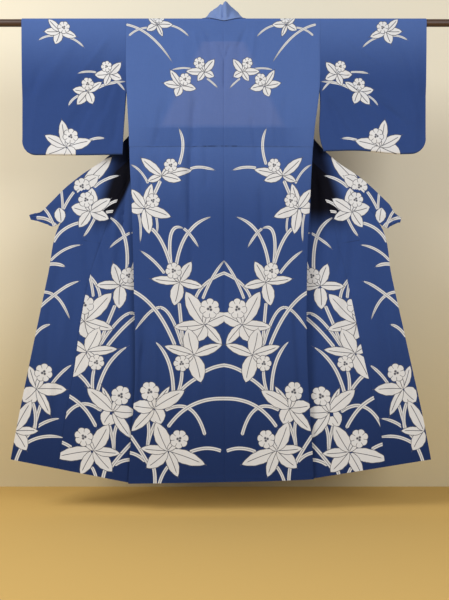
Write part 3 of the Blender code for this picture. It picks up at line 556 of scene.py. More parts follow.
def put(name: str, data: Any) -> bpy.types.Object:
    """Puts a mesh, a light or a camera in the scene.

    Args:
        name: The object's name.
        data: What it shows.

    Returns:
        The new object, at the origin.
    """
    piece = bpy.data.objects.new(name, data)
    bpy.context.scene.collection.objects.link(piece)
    return piece


def smooth(value: np.ndarray) -> np.ndarray:
    """Eases 0 to 1, flat at both ends: 3 t squared less 2 t cubed."""
    held = np.clip(value, 0.0, 1.0)
    return held * held * (3.0 - 2.0 * held)


def column(rows: Sequence[Sequence[float]], names: Sequence[str], name: str) -> np.ndarray:
    """One named column of a table."""
    return np.array([row[names.index(name)] for row in rows])


def curve(places: np.ndarray, values: np.ndarray, wanted: np.ndarray) -> np.ndarray:
    """A smooth curve through a table: cubic pieces whose slopes are the mean of the neighbouring chords.

    Args:
        places: Where the table's values stand, rising or falling.
        values: The values there.
        wanted: The places to read.

    Returns:
        The value at each wanted place, held at the table's ends.
    """
    places = np.asarray(places, float)
    values = np.asarray(values, float)
    if places[0] > places[-1]:
        places, values = places[::-1], values[::-1]
    steps = np.diff(places)
    slopes = np.diff(values) / steps
    tangents = np.concatenate([slopes[:1], (slopes[1:] + slopes[:-1]) / 2, slopes[-1:]])
    wanted = np.clip(wanted, places[0], places[-1])
    at = np.clip(np.searchsorted(places, wanted, side="right") - 1, 0, len(steps) - 1)
    part = (wanted - places[at]) / steps[at]
    rise = part * part * (3 - 2 * part)
    lean_in = part * (1 - part) ** 2 * steps[at] * tangents[at]
    lean_out = part * part * (part - 1) * steps[at] * tangents[at + 1]
    return values[at] + (values[at + 1] - values[at]) * rise + lean_in + lean_out


def looked_up(
    rows: Sequence[Sequence[float]], names: Sequence[str], name: str, wanted: np.ndarray
) -> np.ndarray:
    """A named column of a table, read as a smooth curve over the table's first column.

    Args:
        rows: The table.
        names: The names of its columns.
        name: The column to read.
        wanted: The places to read it at.

    Returns:
        The value at each wanted place.
    """
    return curve(column(rows, names, names[0]), column(rows, names, name), wanted)


def crease_depth(x: np.ndarray, z: np.ndarray, creases: Sequence[Sequence[float]]) -> np.ndarray:
    """Sum of soft valleys and ridges: each a bell across its line, eased to nothing at both ends.

    Args:
        x: Sideways places.
        z: Heights.
        creases: Rows of x_top, z_top, x_bottom, z_bottom, across, depth.

    Returns:
        How far the cloth moves, positive for a valley seen from the back.
    """
    total = np.zeros(np.broadcast(x, z).shape)
    for x_top, z_top, x_bottom, z_bottom, across, depth in creases:
        along = (z_top - z) / (z_top - z_bottom)
        middle = x_top + (x_bottom - x_top) * along + 0.25 * across * np.sin(7.0 * along + 40.0 * x_top)
        fade = smooth(4.0 * along) * smooth(4.0 * (1.0 - along))
        total += depth * fade * np.exp(-(((x - middle) / across) ** 2))
    return total


def ripples(x: np.ndarray, z: np.ndarray, seed: float) -> np.ndarray:
    """Faint unevenness of hanging cotton: a sum of five slanted sine waves of unlike lengths, under 1 mm.

    Args:
        x: Sideways places.
        z: Heights.
        seed: Shifts the waves, so that no two pieces ripple alike.

    Returns:
        How far the cloth moves.
    """
    total = np.zeros(np.broadcast(x, z).shape)
    for number, (wide, tall, size) in enumerate(
        ((31, 5, 0.30), (52, -7, 0.22), (23, 13, 0.25), (88, 11, 0.12), (140, -19, 0.08))
    ):
        total += size * np.sin(wide * x + tall * z + seed * (number + 1.7))
    return total * 0.0010


def unit(vectors: np.ndarray) -> np.ndarray:
    """Vectors over their lengths."""
    return vectors / np.maximum(np.linalg.norm(vectors, axis=-1, keepdims=True), 1e-12)


def mean_way(grid: np.ndarray, axis: int, closed: bool) -> np.ndarray:
    """The grid's direction along an axis: the sum of the unit steps before and after each point.

    Args:
        grid: Rows and columns of points.
        axis: Along which axis the steps are taken.
        closed: Whether the last point joins the first.

    Returns:
        A direction for each point, not yet of unit length.
    """
    if closed:
        steps = unit(np.roll(grid, -1, axis=axis) - grid)
        return steps + np.roll(steps, 1, axis=axis)
    steps = unit(np.diff(grid, axis=axis))
    first, last = np.take(steps, [0], axis=axis), np.take(steps, [-1], axis=axis)
    return np.concatenate([first, steps], axis=axis) + np.concatenate([steps, last], axis=axis)


def normals_of(grid: np.ndarray, closed: bool) -> np.ndarray:
    """Unit normals of a grid: the cross product of its two directions."""
    return unit(np.cross(mean_way(grid, 0, closed), mean_way(grid, 1, False)))


def spline(controls: np.ndarray, places: np.ndarray) -> np.ndarray:
    """A clamped cubic B-spline along each row's controls.

    Args:
        controls: Rows of control points.
        places: Where to read each row, from 0 to 1.

    Returns:
        A grid with one column for each place.
    """
    ends = np.concatenate([controls[:, :1]] * 2 + [controls] + [controls[:, -1:]] * 2, axis=1)
    spans = ends.shape[1] - 3
    at = np.clip(places * spans, 0.0, spans - 1e-9)
    first = at.astype(int)
    part = at - first
    weights = (
        (1 - part) ** 3 / 6,
        (3 * part**3 - 6 * part**2 + 4) / 6,
        (-3 * part**3 + 3 * part**2 + 3 * part + 1) / 6,
        part**3 / 6,
    )
    total = np.zeros((len(controls), len(places), 3))
    for number, weight in enumerate(weights):
        total += weight[None, :, None] * ends[:, first + number]
    return total


def thickened(keys: np.ndarray, step: float) -> np.ndarray:
    """More rows between key rows, along a Catmull-Rom curve through each column.

    Args:
        keys: Key rows of points.
        step: The longest distance between new rows, measured on the first column.

    Returns:
        The key rows and the rows between them.
    """
    padded = np.concatenate([2 * keys[:1] - keys[1:2], keys, 2 * keys[-1:] - keys[-2:-1]])
    rows = []
    for i in range(len(keys) - 1):
        before, start, end, after = padded[i : i + 4]
        reach = np.linalg.norm(end - start, axis=-1)
        count = max(1, math.ceil(float(reach.max()) / step))
        part = (np.arange(count) / count)[:, None, None]
        low = np.linalg.norm(start - before, axis=-1)[:, None] + 1e-9
        high = np.linalg.norm(after - end, axis=-1)[:, None] + 1e-9
        span = reach[:, None] + 1e-9
        tangent_in = ((start - before) / low + (end - start) / span) / 2 * span
        tangent_out = ((end - start) / span + (after - end) / high) / 2 * span
        rise = part * part * (3 - 2 * part)
        leans = part * (1 - part) ** 2 * tangent_in, part * part * (part - 1) * tangent_out
        rows.append(start + (end - start) * rise + leans[0] + leans[1])
    rows.append(keys[-1:])
    return np.concatenate(rows)


def hang(below: np.ndarray) -> tuple[np.ndarray, np.ndarray]:
    """The path of cloth that leaves the rod's top: a quarter turn round the rod, then straight down.

    Args:
        below: Distances along the cloth from the top.

    Returns:
        Depth away from the rod's axis, and height.
    """
    turn = np.minimum(below / HANG_RADIUS, math.pi / 2)
    height = HANG_RADIUS * np.cos(turn) - np.maximum(below - QUARTER_TURN, 0.0)
    return HANG_RADIUS * np.sin(turn), height


def neck_angle(x: np.ndarray) -> np.ndarray:
    """How far up the rod the neckline runs: nearly level in the middle, on top at the shoulder point."""
    share = np.clip(np.abs(x) / NECK_HALF, 0.0, 1.0) ** NECK_SHAPE
    return NECK_LOW_ANGLE + (math.pi / 2 - NECK_LOW_ANGLE) * share


def side_width(side: Side, z: np.ndarray) -> np.ndarray:
    """Half width of the body at a height, from its table."""
    return looked_up(SIDE_EDGE[side], SIDE_EDGE_COLUMNS, "width", z)


def spaced(start: float, end: float, step: float, extra: Sequence[float] = ()) -> np.ndarray:
    """Even places no more than a step apart, with some extra ones let in."""
    places = np.linspace(start, end, max(2, math.ceil((end - start) / step) + 1))
    return np.unique(np.round(np.concatenate([places, np.asarray(extra, float)]), 7))


class Chart:
    """The print's chart: flowers and leaves, read out for each small patch of cloth.

    Every petal, lip and leaf has its own two coordinates, which the patches' corners carry to the dye. A petal counts
    from its base (0) to its tip (1) and across in half widths. A leaf does the same along its bent middle line. A lip
    counts in its own radii from its middle.
    """

    # Coordinates that show nothing, and how far past its outline a shape still counts, in squares.
    FAR = (-9.0, 9.0, 1.0)
    SPARE = 0.8

    def __init__(self, flowers: Sequence[Any], leaves: Sequence[Sequence[float]]) -> None:
        """Keeps the chart's flowers and leaves."""
        self.flowers = flowers
        self.leaves = leaves

    @staticmethod
    def _along(points: np.ndarray, base: np.ndarray, tip: np.ndarray, half: float) -> np.ndarray:
        """Petal coordinates: the part of the way to the tip, and the offset over the half width.

        Args:
            points: Chart places.
            base: Where the petal starts.
            tip: Where it ends.
            half: Its half width in squares.

        Returns:
            Along, across and the half width in metres, for each place.
        """
        way = tip - base
        length = float(np.hypot(*way))
        rest = points - base
        along = (rest @ way) / length**2
        across = (rest[..., 1] * way[0] - rest[..., 0] * way[1]) / length / half
        return np.stack([along, across, np.full_like(along, half * SQUARE)], -1)

    @staticmethod
    def _bent(points: np.ndarray, leaf: Sequence[float]) -> np.ndarray:
        """Leaf coordinates: the nearest chord of a quadratic curve through the leaf's three points.

        The way along runs from 0 to 1 over the whole leaf. Where an end lies under a flower, it starts or stops at the
        leaf's full width instead, and runs out fast past that end.

        Args:
            points: Chart places.
            leaf: One row of the leaves' table.

        Returns:
            Along, across and the half width in metres, for each place.
        """
        start, middle, end = np.array(leaf[:6]).reshape(3, 2)
        t = np.linspace(0.0, 1.0, LEAF_CHORDS + 1)[:, None]
        line = (1 - t) ** 2 * start + 2 * t * (1 - t) * middle + t**2 * end
        way = np.diff(line, axis=0)
        square = (way**2).sum(1)
        rest = points[..., None, :] - line[:-1]
        part = (rest * way).sum(-1) / square
        number = np.arange(LEAF_CHORDS)
        low = np.where(number == 0, -9.0, 0.0)
        high = np.where(number == LEAF_CHORDS - 1, 9.0, 1.0)
        held = np.clip(part, low, high)
        gap = rest - held[..., None] * way
        best = np.argmin((gap**2).sum(-1), axis=-1)[..., None]
        side = rest[..., 1] * way[:, 0] - rest[..., 0] * way[:, 1]
        across = np.take_along_axis(side, best, -1)[..., 0] / np.sqrt(square)[best[..., 0]]
        along = (best[..., 0] + np.take_along_axis(held, best, -1)[..., 0]) / LEAF_CHORDS
        half, covered = leaf[6], int(leaf[7])
        first = LEAF_CUT if covered & 1 else 0.0
        last = 1.0 - LEAF_CUT if covered & 2 else 1.0
        inside = np.clip(along, 0.0, 1.0)
        along = first + (last - first) * inside + LEAF_PAST * (along - inside)
        return np.stack([along, across / half, np.full_like(along, half * SQUARE)], -1)

    def _pieces(self) -> dict[Kind, list[Shape]]:
        """All the chart's shapes by kind, the topmost first.

        Returns:
            A kind's name to its shapes: lowest corner, highest corner, and a function from places to coordinates.
        """
        found: dict[Kind, list[Shape]] = {kind: [] for kind in Kind}
        for centre, lip, petals in reversed(self.flowers):
            middle = np.array(centre, float)
            if lip is not None:
                at, radius = np.array(lip[:2], float), lip[2]
                found[Kind.LIP].append((at - 1.3 * radius, at + 1.3 * radius, self._lip(at, radius, middle)))
                found[Kind.PETAL].append(self._petal(middle, at, radius * 0.42))
            found[Kind.PETAL] += [self._petal(middle, np.array(row[:2], float), row[2]) for row in petals]
        for leaf in self.leaves:
            corners = np.array(leaf[:6]).reshape(3, 2)
            spare = leaf[6] + 3.0
            found[Kind.LEAF].append((corners.min(0) - spare, corners.max(0) + spare, self._leaf(leaf)))
        return found

    def _leaf(self, leaf: Sequence[float]) -> Coordinates:
        """A function that gives one leaf's coordinates."""
        return lambda points: self._bent(points, leaf)

    def _petal(self, base: np.ndarray, tip: np.ndarray, half: float) -> Shape:
        """One petal, with room for its waves and its line.

        Args:
            base: Where the petal starts.
            tip: Where it ends.
            half: Its half width in squares.

        Returns:
            Lowest corner, highest corner, and a function from places to coordinates.
        """
        spare = half + 1.5
        low, high = np.minimum(base, tip) - spare, np.maximum(base, tip) + spare
        return low, high, lambda points: self._along(points, base, tip, half)

    @staticmethod
    def _lip(at: np.ndarray, radius: float, centre: np.ndarray) -> Coordinates:
        """A lip's own coordinates: radii along the way out from the flower's centre, and radii across it.

        Args:
            at: The lip's middle.
            radius: Its radius in squares.
            centre: The flower's centre.

        Returns:
            A function from places to coordinates.
        """
        way = at - centre
        way = way / max(float(np.hypot(*way)), 1e-6) if np.hypot(*way) > 0.1 else np.array([0.0, -1.0])
        side = np.array([-way[1], way[0]])

        def local(points: np.ndarray) -> np.ndarray:
            """Radii along and across."""
            rest = (points - at) / radius
            return np.stack([rest @ way, rest @ side, np.full(rest.shape[:-1], radius * SQUARE)], -1)

        return local

    @staticmethod
    def _touches(kind: Kind, local: np.ndarray, spare: float) -> np.ndarray:
        """Whether a patch whose corners have these coordinates may show the shape.

        Args:
            kind: Leaf, petal or lip.
            local: The shape's coordinates at the patches' corners.
            spare: How far past its outline a shape still counts, in squares.

        Returns:
            Yes or no for each patch.
        """
        along, across, size = local[..., 0], local[..., 1], local[..., 2]
        if kind is Kind.LIP:
            return np.hypot(along, across).min(-1) < 1.2 + spare * SQUARE / size[..., 0]
        near = (along.max(-1) > -0.02) & (along.min(-1) < 1.02)
        return near & (np.abs(across).min(-1) < 1.08 + spare * SQUARE / size[..., 0])

    def layers(self, corners: np.ndarray) -> dict[str, np.ndarray]:
        """Each layer's coordinates at the patches' corners.

        Args:
            corners: The chart places of each patch's four corners.

        Returns:
            A layer's name to its coordinates, three for each corner.
        """
        low, high = corners.min(1), corners.max(1)
        found = {}
        for kind, shapes in self._pieces().items():
            slots = np.tile(np.array(self.FAR), (kind.value, len(corners), 4, 1))
            used = np.zeros(len(corners), int)
            for box_low, box_high, place in shapes:
                near = np.flatnonzero((high > box_low).all(1) & (low < box_high).all(1) & (used < kind.value))
                if not len(near):
                    continue
                local = place(corners[near])
                hit = self._touches(kind, local, self.SPARE)
                slots[used[near[hit]], near[hit]] = local[hit]
                used[near[hit]] += 1
            for number in range(kind.value):
                found[f"{kind.word}_{number + 1}"] = slots[number]
        return found


@dataclass
class ClothPiece:
    """A sewn piece of thin cloth: two skins about a grid of points, closed by rims.

    The print's coordinates ride on the patches' corners.
    """

    name: str
    chart: Chart
    dye: "PrintedCotton"
    flat: tuple[float, float]
    rests_on: tuple[str, ...]
    wall: float = CLOTH_WALL
    closed: bool = False
    area: float | None = None

    def surface(self) -> tuple[np.ndarray, np.ndarray]:
        """The middle surface, which each kind of piece forms in its own way.

        Returns:
            A grid of points and the chart place of each.
        """
        raise NotImplementedError

    def _corners(self, rows: int, columns: int) -> tuple[np.ndarray, np.ndarray]:
        """Row and column numbers of each patch's four corners.

        Args:
            rows: How many rows the grid has.
            columns: How many columns.

        Returns:
            Row numbers and column numbers, four for each patch.
        """
        spans = rows if self.closed else rows - 1
        i, j = np.meshgrid(np.arange(spans), np.arange(columns - 1), indexing="ij")
        i, j = i.reshape(-1, 1), j.reshape(-1, 1)
        return i + np.array([[0, 1, 1, 0]]), j + np.array([[0, 0, 1, 1]])

    def _rims(self, rows: int, columns: int) -> list[np.ndarray]:
        """The rims' quads, each turned outwards for a first skin that lies along the grid's normal.

        Args:
            rows: How many rows the grid has.
            columns: How many columns.

        Returns:
            One array of quads for each rim: the two side rims, then the first and last row of an open piece.
        """
        numbers = np.arange(rows * columns).reshape(rows, columns)
        if self.closed:
            numbers = np.concatenate([numbers, numbers[:1]])
        under = numbers + rows * columns

        def strip(first: np.ndarray, second: np.ndarray) -> np.ndarray:
            """Quads between two lines of vertex numbers."""
            return np.stack([first[:-1], first[1:], second[1:], second[:-1]], 1)

        found = [strip(numbers[:, 0], under[:, 0])[:, ::-1], strip(numbers[:, -1], under[:, -1])]
        if not self.closed:
            found += [strip(numbers[0], under[0]), strip(numbers[-1], under[-1])[:, ::-1]]
        return found

    def _facing(self, push: np.ndarray) -> float:
        """Which way along the grid's normals the first skin lies, so that it faces the robe's back.

        Args:
            push: The grid's unit normals.

        Returns:
            One or minus one.
        """
        rows, columns = push.shape[:2]
        seen = push[rows // 4, columns // 2, 1] if self.closed else push[rows // 2 :, -3:, 1].mean()
        return -1.0 if seen > 0 else 1.0

    def _bake_map(self, row: np.ndarray, col: np.ndarray, rims: list[np.ndarray]) -> np.ndarray:
        """The baking map: the two skins side by side, the rims in a strip below them.

        Args:
            row: Row numbers of the patches' corners.
            col: Column numbers of the patches' corners.
            rims: The rims' quads.

        Returns:
            Map places, four for each face.
        """
        wide, tall = col / col.max() * MAP_WIDTH + MAP_GAP, row / row.max() * MAP_HEIGHT + MAP_LOW
        spread = np.stack([wide, tall], -1)
        maps = [spread, (spread + np.array([0.5, 0.0]))[:, ::-1]]
        return np.concatenate(maps + [self._rim_map(len(rim), number) for number, rim in enumerate(rims)])

    def _corner_data(self, places: np.ndarray, spare: int) -> dict[str, np.ndarray]:
        """What the corners carry: the place on the cloth, and the coordinates in each of the print's layers.

        The far skin repeats the first one's corners in the other order and is marked as the wrong side. The rims
        show no print.

        Args:
            places: Chart places of the first skin's corners.
            spare: How many quads the rims have.

        Returns:
            An attribute's name to three numbers for each corner.
        """
        cloth = np.concatenate([places * SQUARE, np.zeros(places.shape[:2] + (1,))], -1)
        back = cloth[:, ::-1].copy()
        back[..., 2] = 1.0
        found = {"cloth": np.concatenate([cloth, back, np.full((spare, 4, 3), 0.5)])}
        blank = np.tile(np.array(Chart.FAR), (spare, 4, 1))
        for key, values in self.chart.layers(places).items():
            found[key] = np.concatenate([values, values[:, ::-1], blank])
        return found

    def build(self) -> bpy.types.Object:
        """Makes the mesh with its print, its baking map and its finish.

        Returns:
            The finished piece.
        """
        points, chart = self.surface()
        rows, columns = points.shape[:2]
        push = normals_of(points, self.closed)
        sign = self._facing(push)
        skins = [points + push * (sign * self.wall / 2), points - push * (sign * self.wall / 2)]
        row, col = self._corners(rows, columns)
        quads = (row % rows) * columns + col
        rims = self._rims(rows, columns)
        order = np.concatenate([quads, quads[:, ::-1] + rows * columns, *rims])
        flat_map = self._bake_map(row, col, rims)
        places = np.concatenate([chart, chart[:1]])[row, col]
        corner_data = self._corner_data(places, sum(len(rim) for rim in rims))
        if sign < 0:
            order, flat_map = order[:, ::-1], flat_map[:, ::-1]
            corner_data = {key: values[:, ::-1] for key, values in corner_data.items()}
        mesh = bpy.data.meshes.new(f"{self.name}_cloth")
        mesh.from_pydata(np.concatenate(skins).reshape(-1, 3).tolist(), [], order.tolist())
        for key, values in corner_data.items():
            layer = mesh.attributes.new(key, "FLOAT_VECTOR", "CORNER")
            layer.data.foreach_set("vector", np.ascontiguousarray(values, np.float32).ravel())
        bake = mesh.uv_layers.new(name="OFBake")
        bake.data.foreach_set("uv", np.ascontiguousarray(flat_map, np.float32).ravel())
        mesh.polygons.foreach_set("use_smooth", np.ones(len(order), bool))
        mesh.set_sharp_from_angle(angle=math.radians(50))
        mesh.materials.append(self.dye.material())
        mesh.update()
        piece = put(f"{self.name}_cloth", mesh)
        self._declare(piece)
        LOG.info("%s: %d patches", self.name, len(order))
        return piece

    @staticmethod
    def _rim_map(count: int, number: int) -> np.ndarray:
        """A rim's own strip of the baking map, below the skins.

        Args:
            count: How many quads the rim has.
            number: The rim's number, which picks its quarter of the strip.

        Returns:
            Map places, four for each quad.
        """
        start = np.arange(count) / count
        end = (np.arange(count) + 1) / count
        low, high = np.full(count, RIM_LOW), np.full(count, RIM_HIGH)
        strip = np.stack([np.stack([start, low], -1), np.stack([end, low], -1)], 1)
        strip = np.concatenate([strip, np.stack([np.stack([end, high], -1), np.stack([start, high], -1)], 1)], 1)
        return strip * np.array([RIM_WIDTH, 1.0]) + np.array([MAP_GAP + number * 0.25, 0.0])

    def _declare(self, piece: bpy.types.Object) -> None:
        """Attaches the piece to the root and hides the part that it replaces.

        Args:
            piece: The finished piece.
        """
        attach(piece, "root")
        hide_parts(self.name)


@dataclass
class BackPanel(ClothPiece):
    """Half of the back: from the centre seam to the side, and from the rod to the hem."""

    side: Side = Side.LEFT
    step: float = 0.0052
    squeeze: float = 1.0

    def surface(self) -> tuple[np.ndarray, np.ndarray]:
        """Hangs from the neckline on the rod by a quarter turn, then straight down to the slanted hem.

        Sideways each row runs evenly from the centre seam to the side's width at that height. Depth adds the
        creases, the ripples, the side edge's curl (the eighth power of the way across), the stitched tuck as a bell
        with a step under it, the two seams as falling exponentials, and the hem's turned-in strip.

        Returns:
            A grid of points and the chart place of each.
        """
        sign = self.side.value
        across = spaced(0.0, 1.0, self.step / BACK_WIDTH, (0.004, 0.010, 0.990, 0.996))[None, :]
        last = QUARTER_TURN + BACK_LENGTH
        stitched = QUARTER_TURN - BACK_TUCK
        extra = [*np.linspace(0.0, QUARTER_TURN, 12), *(stitched + off for off in TUCK_ROWS)]
        rows = spaced(0.0, last, self.step, extra) / last
        down = rows[:, None] + 0 * across
        across = across + 0 * down
        hem = looked_up(HEM, HEM_COLUMNS, "z", sign * across * BACK_WIDTH)
        top_width = side_width(self.side, np.zeros_like(across))
        start = HANG_RADIUS * (math.pi / 2 - neck_angle(sign * across * top_width))
        below = start + (QUARTER_TURN - hem - start) * down
        depth, z = hang(below)
        fall = np.clip(-z / BACK_LENGTH, 0.0, 1.0)
        inner = CENTRE_SEAM_TOP + (CENTRE_SEAM_HEM - CENTRE_SEAM_TOP) * fall - sign * 0.0001
        x = inner + (sign * side_width(self.side, z) - inner) * across
        loose = smooth((below - QUARTER_TURN) / 0.06)
        free = 1.0 - smooth((across - 0.9) / 0.1)
        curl = EDGE_CURL * across**8 * smooth(-z / 0.35)
        fine = crease_depth(x, z, BACK_CREASES) + crease_depth(x, z, BACK_FINE) + ripples(x, z, 2.0)
        tuck = -0.0008 * np.exp(-(((z - BACK_TUCK) / 0.0016) ** 2)) * smooth((TUCK_HALF - np.abs(x)) / 0.02)
        tuck = tuck + 0.0009 * smooth((BACK_TUCK - z) / 0.002) * smooth(1 + (z - BACK_TUCK) / 0.05)
        seam = 0.0014 * np.exp(-np.abs(x - inner) / SEAM_FALL)
        seam = seam + 0.0012 * np.exp(-(1.0 - across) * BACK_WIDTH / SEAM_FALL)
        hemmed = -0.0007 * smooth((z - hem + 0.016) / 0.002) * smooth((hem + 0.021 - z) / 0.002)
        y = -depth + loose * (fine * free + curl + tuck + seam * smooth(-z / 0.05)) + hemmed
        chart = np.stack([sign * x / self.squeeze, below - QUARTER_TURN], -1) / SQUARE
        return np.stack([x, y, z], -1), chart


def front_values(side: Side, below: np.ndarray) -> dict[str, np.ndarray]:
    """The front's widths, heights and depths, from its two tables; on the rod the cloth follows the quarter turn.

    Args:
        side: Which front.
        below: Distances below the shoulder.

    Returns:
        A measure's name to its values.
    """
    found = {name: looked_up(FRONT[side], FRONT_COLUMNS, name, below) for name in FRONT_COLUMNS[1:]}
    round_rod, found["z"] = hang(below)
    on_rod = below < QUARTER_TURN
    for name in DEPTH_COLUMNS[1:]:
        found["depth_" + name] = np.where(on_rod, round_rod, looked_up(DEPTH, DEPTH_COLUMNS, name, below))
    found["edge_z"] = np.where(on_rod, found["z"], found["edge_z"])
    found["width"] = side_width(side, found["z"]) - 0.00075 * smooth((below - 0.22) / 0.08)
    return found


def outward(found: dict[str, np.ndarray], width: np.ndarray) -> tuple[np.ndarray, np.ndarray]:
    """The outward layer at a half width: a straight run from the fold behind the back to the outer edge.

    Args:
        found: The front's measures.
        width: Half widths on the layer.

    Returns:
        Depth and height.
    """
    span = np.maximum(found["edge"] - found["fold"], 1e-6)
    share = np.clip((width - found["fold"]) / span, 0.0, 1.0)
    depth = found["depth_outer"] + (found["depth_edge"] - found["depth_outer"]) * share
    return depth, found["z"] + (found["edge_z"] - found["z"]) * share


def front_grid(side: Side, across: np.ndarray, below: np.ndarray) -> np.ndarray:
    """Front panel: in behind the back, round its fold and out to the overlap seam.

    Each row is a clamped cubic B-spline of ten controls. Near the rod, where the panel lies flat, the controls are
    eased towards even places on a straight line.

    Args:
        side: Which front.
        across: Places along each row, from 0 at the side seam to 1 at the overlap seam.
        below: Distances below the shoulder, one for each row.

    Returns:
        A grid of points.
    """
    found = front_values(side, below)
    width, fold, seam, z = found["width"], found["fold"], found["seam"], found["z"]
    tuck, out = width - fold, seam - fold
    bend = np.minimum(0.010, tuck * 0.35)
    turn = np.minimum(0.008, np.minimum(out, tuck) * 0.35)
    side_y, inner_y = found["depth_side"], found["depth_inner"]
    near_depth, near_z = outward(found, fold + turn)
    far_depth, far_z = outward(found, fold + out * 0.55)
    seam_depth, seam_z = outward(found, seam)
    rows = (
        (width, side_y, z),
        (width + 0.1 * bend, side_y * 0.5 + inner_y * 0.5, z),
        (width - bend, inner_y, z),
        (width - bend - (tuck - bend - turn) * 0.5, inner_y, z),
        (fold + turn, inner_y, z),
        (fold - 0.35 * turn, inner_y, z),
        (fold - 0.35 * turn, near_depth, near_z * 0.5 + z * 0.5),
        (fold + turn, near_depth, near_z),
        (fold + out * 0.55, far_depth, far_z),
        (seam, seam_depth, seam_z),
    )
    controls = np.stack([np.stack(row, -1) for row in rows], axis=1)
    share = np.linspace(0.0, 1.0, len(rows))[None, :, None]
    even = controls[:, :1] * (1.0 - share) + controls[:, -1:] * share
    formed = smooth((below - QUARTER_TURN) / (FOLD_STARTS - QUARTER_TURN))[:, None, None]
    grid = spline(even + (controls - even) * formed, across)
    grid[..., 0] *= side.value
    return grid


def front_waves(side: Side, grid: np.ndarray, below: np.ndarray) -> np.ndarray:
    """How far the front's outward layer and the overlap move: creases and ripples, eased in below the armhole.

    Args:
        side: Which front.
        grid: The points.
        below: Distances below the shoulder, one for each row.

    Returns:
        The move away from the robe's back, for each point.
    """
    x, z = grid[..., 0], grid[..., 2]
    low = smooth((below - 0.40) / 0.15)
    waves = crease_depth(x, z, FRONT_CREASES[side]) + crease_depth(x, z, FRONT_FINE[side]) + ripples(x, z, 5.0)
    return waves * low


@dataclass
class FrontPanel(ClothPiece):
    """One front: tucked in behind the back, folded and drawn outwards to its overlap seam."""

    side: Side = Side.LEFT
    step: float = 0.0056

    def surface(self) -> tuple[np.ndarray, np.ndarray]:
        """Rows of the folded panel, with the creases on what shows and a slight swell on what is tucked in.

        The print is counted along the cloth, in from the side seam, by the rows' own lengths.

        Returns:
            A grid of points and the chart place of each.
        """
        last = FRONT[self.side][-1][0]
        across = np.linspace(0.0, 1.0, 82)
        start = SEAM_GAP * 1.4
        below = spaced(start, last, self.step, np.linspace(start, QUARTER_TURN, 10))
        grid = front_grid(self.side, across, below)
        steps = np.linalg.norm(np.diff(grid, axis=1), axis=-1)
        along = np.concatenate([np.zeros((len(below), 1)), np.cumsum(steps, axis=1)], axis=1)
        visible = smooth((across - 0.76) / 0.1)[None, :]
        inner = smooth(across / 0.06)[None, :] * (1.0 - visible) * smooth((below - 0.05) / 0.05)[:, None]
        seam = 0.0010 * np.exp(-(along[:, -1:] - along) / 0.0030) * smooth((below - 0.3) / 0.1)[:, None]
        grid[..., 1] += front_waves(self.side, grid, below[:, None]) * visible + seam * visible
        grid[..., 1] += np.maximum(ripples(grid[..., 0], grid[..., 2], 9.0), 0.0) * inner
        down = (below - QUARTER_TURN) / SQUARE - 8.0
        reach = looked_up(FRONT_PRINT, PRINT_COLUMNS, "reach", down)
        return grid, np.stack([(reach[:, None] - along) / SQUARE, down[:, None] + 0 * along], -1)


def overlap_grid(side: Side, across: np.ndarray, below: np.ndarray) -> np.ndarray:
    """Overlap panel: a straight run from under its seam on the front to the collar's seam or the robe's outer edge.

    Args:
        side: Which overlap.
        across: Places along each row, from 0 at the front's seam to 1 at the outer edge.
        below: Distances below the shoulder, one for each row.

    Returns:
        A grid of points.
    """
    found = {name: value[:, None] for name, value in front_values(side, below).items()}
    inner = found["seam"] - SEAM_LAP
    outer = np.maximum(found["edge"], found["seam"] + 0.0025)
    width = inner + (outer - inner) * across[None, :]
    depth, z = outward(found, width)
    depth = depth + (CLOTH_WALL + 0.0002) * (1.0 - smooth((width - found["seam"]) / SEAM_LAP))
    grid = np.stack([side.value * width, depth, z], -1)
    middle = smooth((1.0 - across[None, :]) / 0.25)
    grid[..., 1] += front_waves(side, grid, below[:, None]) * middle
    return grid


def gathered(grid: np.ndarray) -> np.ndarray:
    """Small folds that run together at the collar's drawn-out ends: cosine waves round each tip.

    They swell from nothing at the tip by one exponential and fade outwards by another.

    Args:
        grid: The points.

    Returns:
        How far each point moves.
    """
    total = np.zeros(grid.shape[:2])
    for side, (width, height, reach, count, deep) in GATHERS.items():
        x, z = grid[..., 0] * side.value - width, grid[..., 2] - height
        away = np.hypot(x, z)
        turn = np.arctan2(z, x)
        wave = np.cos(count * turn + 1.3 * np.sin(3 * turn))
        total += deep * np.exp(-away / reach) * (1 - np.exp(-away / 0.016)) * wave
    return total


@dataclass
class OverlapPanel(ClothPiece):
    """The narrow panel between a front and its outer edge."""

    side: Side = Side.LEFT
    step: float = 0.0056
    squeeze: float = 1.0

    def surface(self) -> tuple[np.ndarray, np.ndarray]:
        """Rows of the flat panel from the slanted top down, gathered near the collar's end.

        Returns:
            A grid of points and the chart place of each.
        """
        last = FRONT[self.side][-1][0]
        below = spaced(OVERLAP_TOP, last, self.step)
        across = spaced(0.0, 1.0, self.step / OVERLAP_WIDTH, (0.008, 0.02, 0.03, 0.98, 0.992))
        grid = overlap_grid(self.side, across, below)
        middle = smooth((1.0 - across[None, :]) / 0.06) * smooth(across[None, :] / 0.06)
        grid[..., 1] += gathered(grid) * middle
        chart = np.stack([self.side.value * grid[..., 0] / self.squeeze, -grid[..., 2]], -1)
        return grid, chart / SQUARE


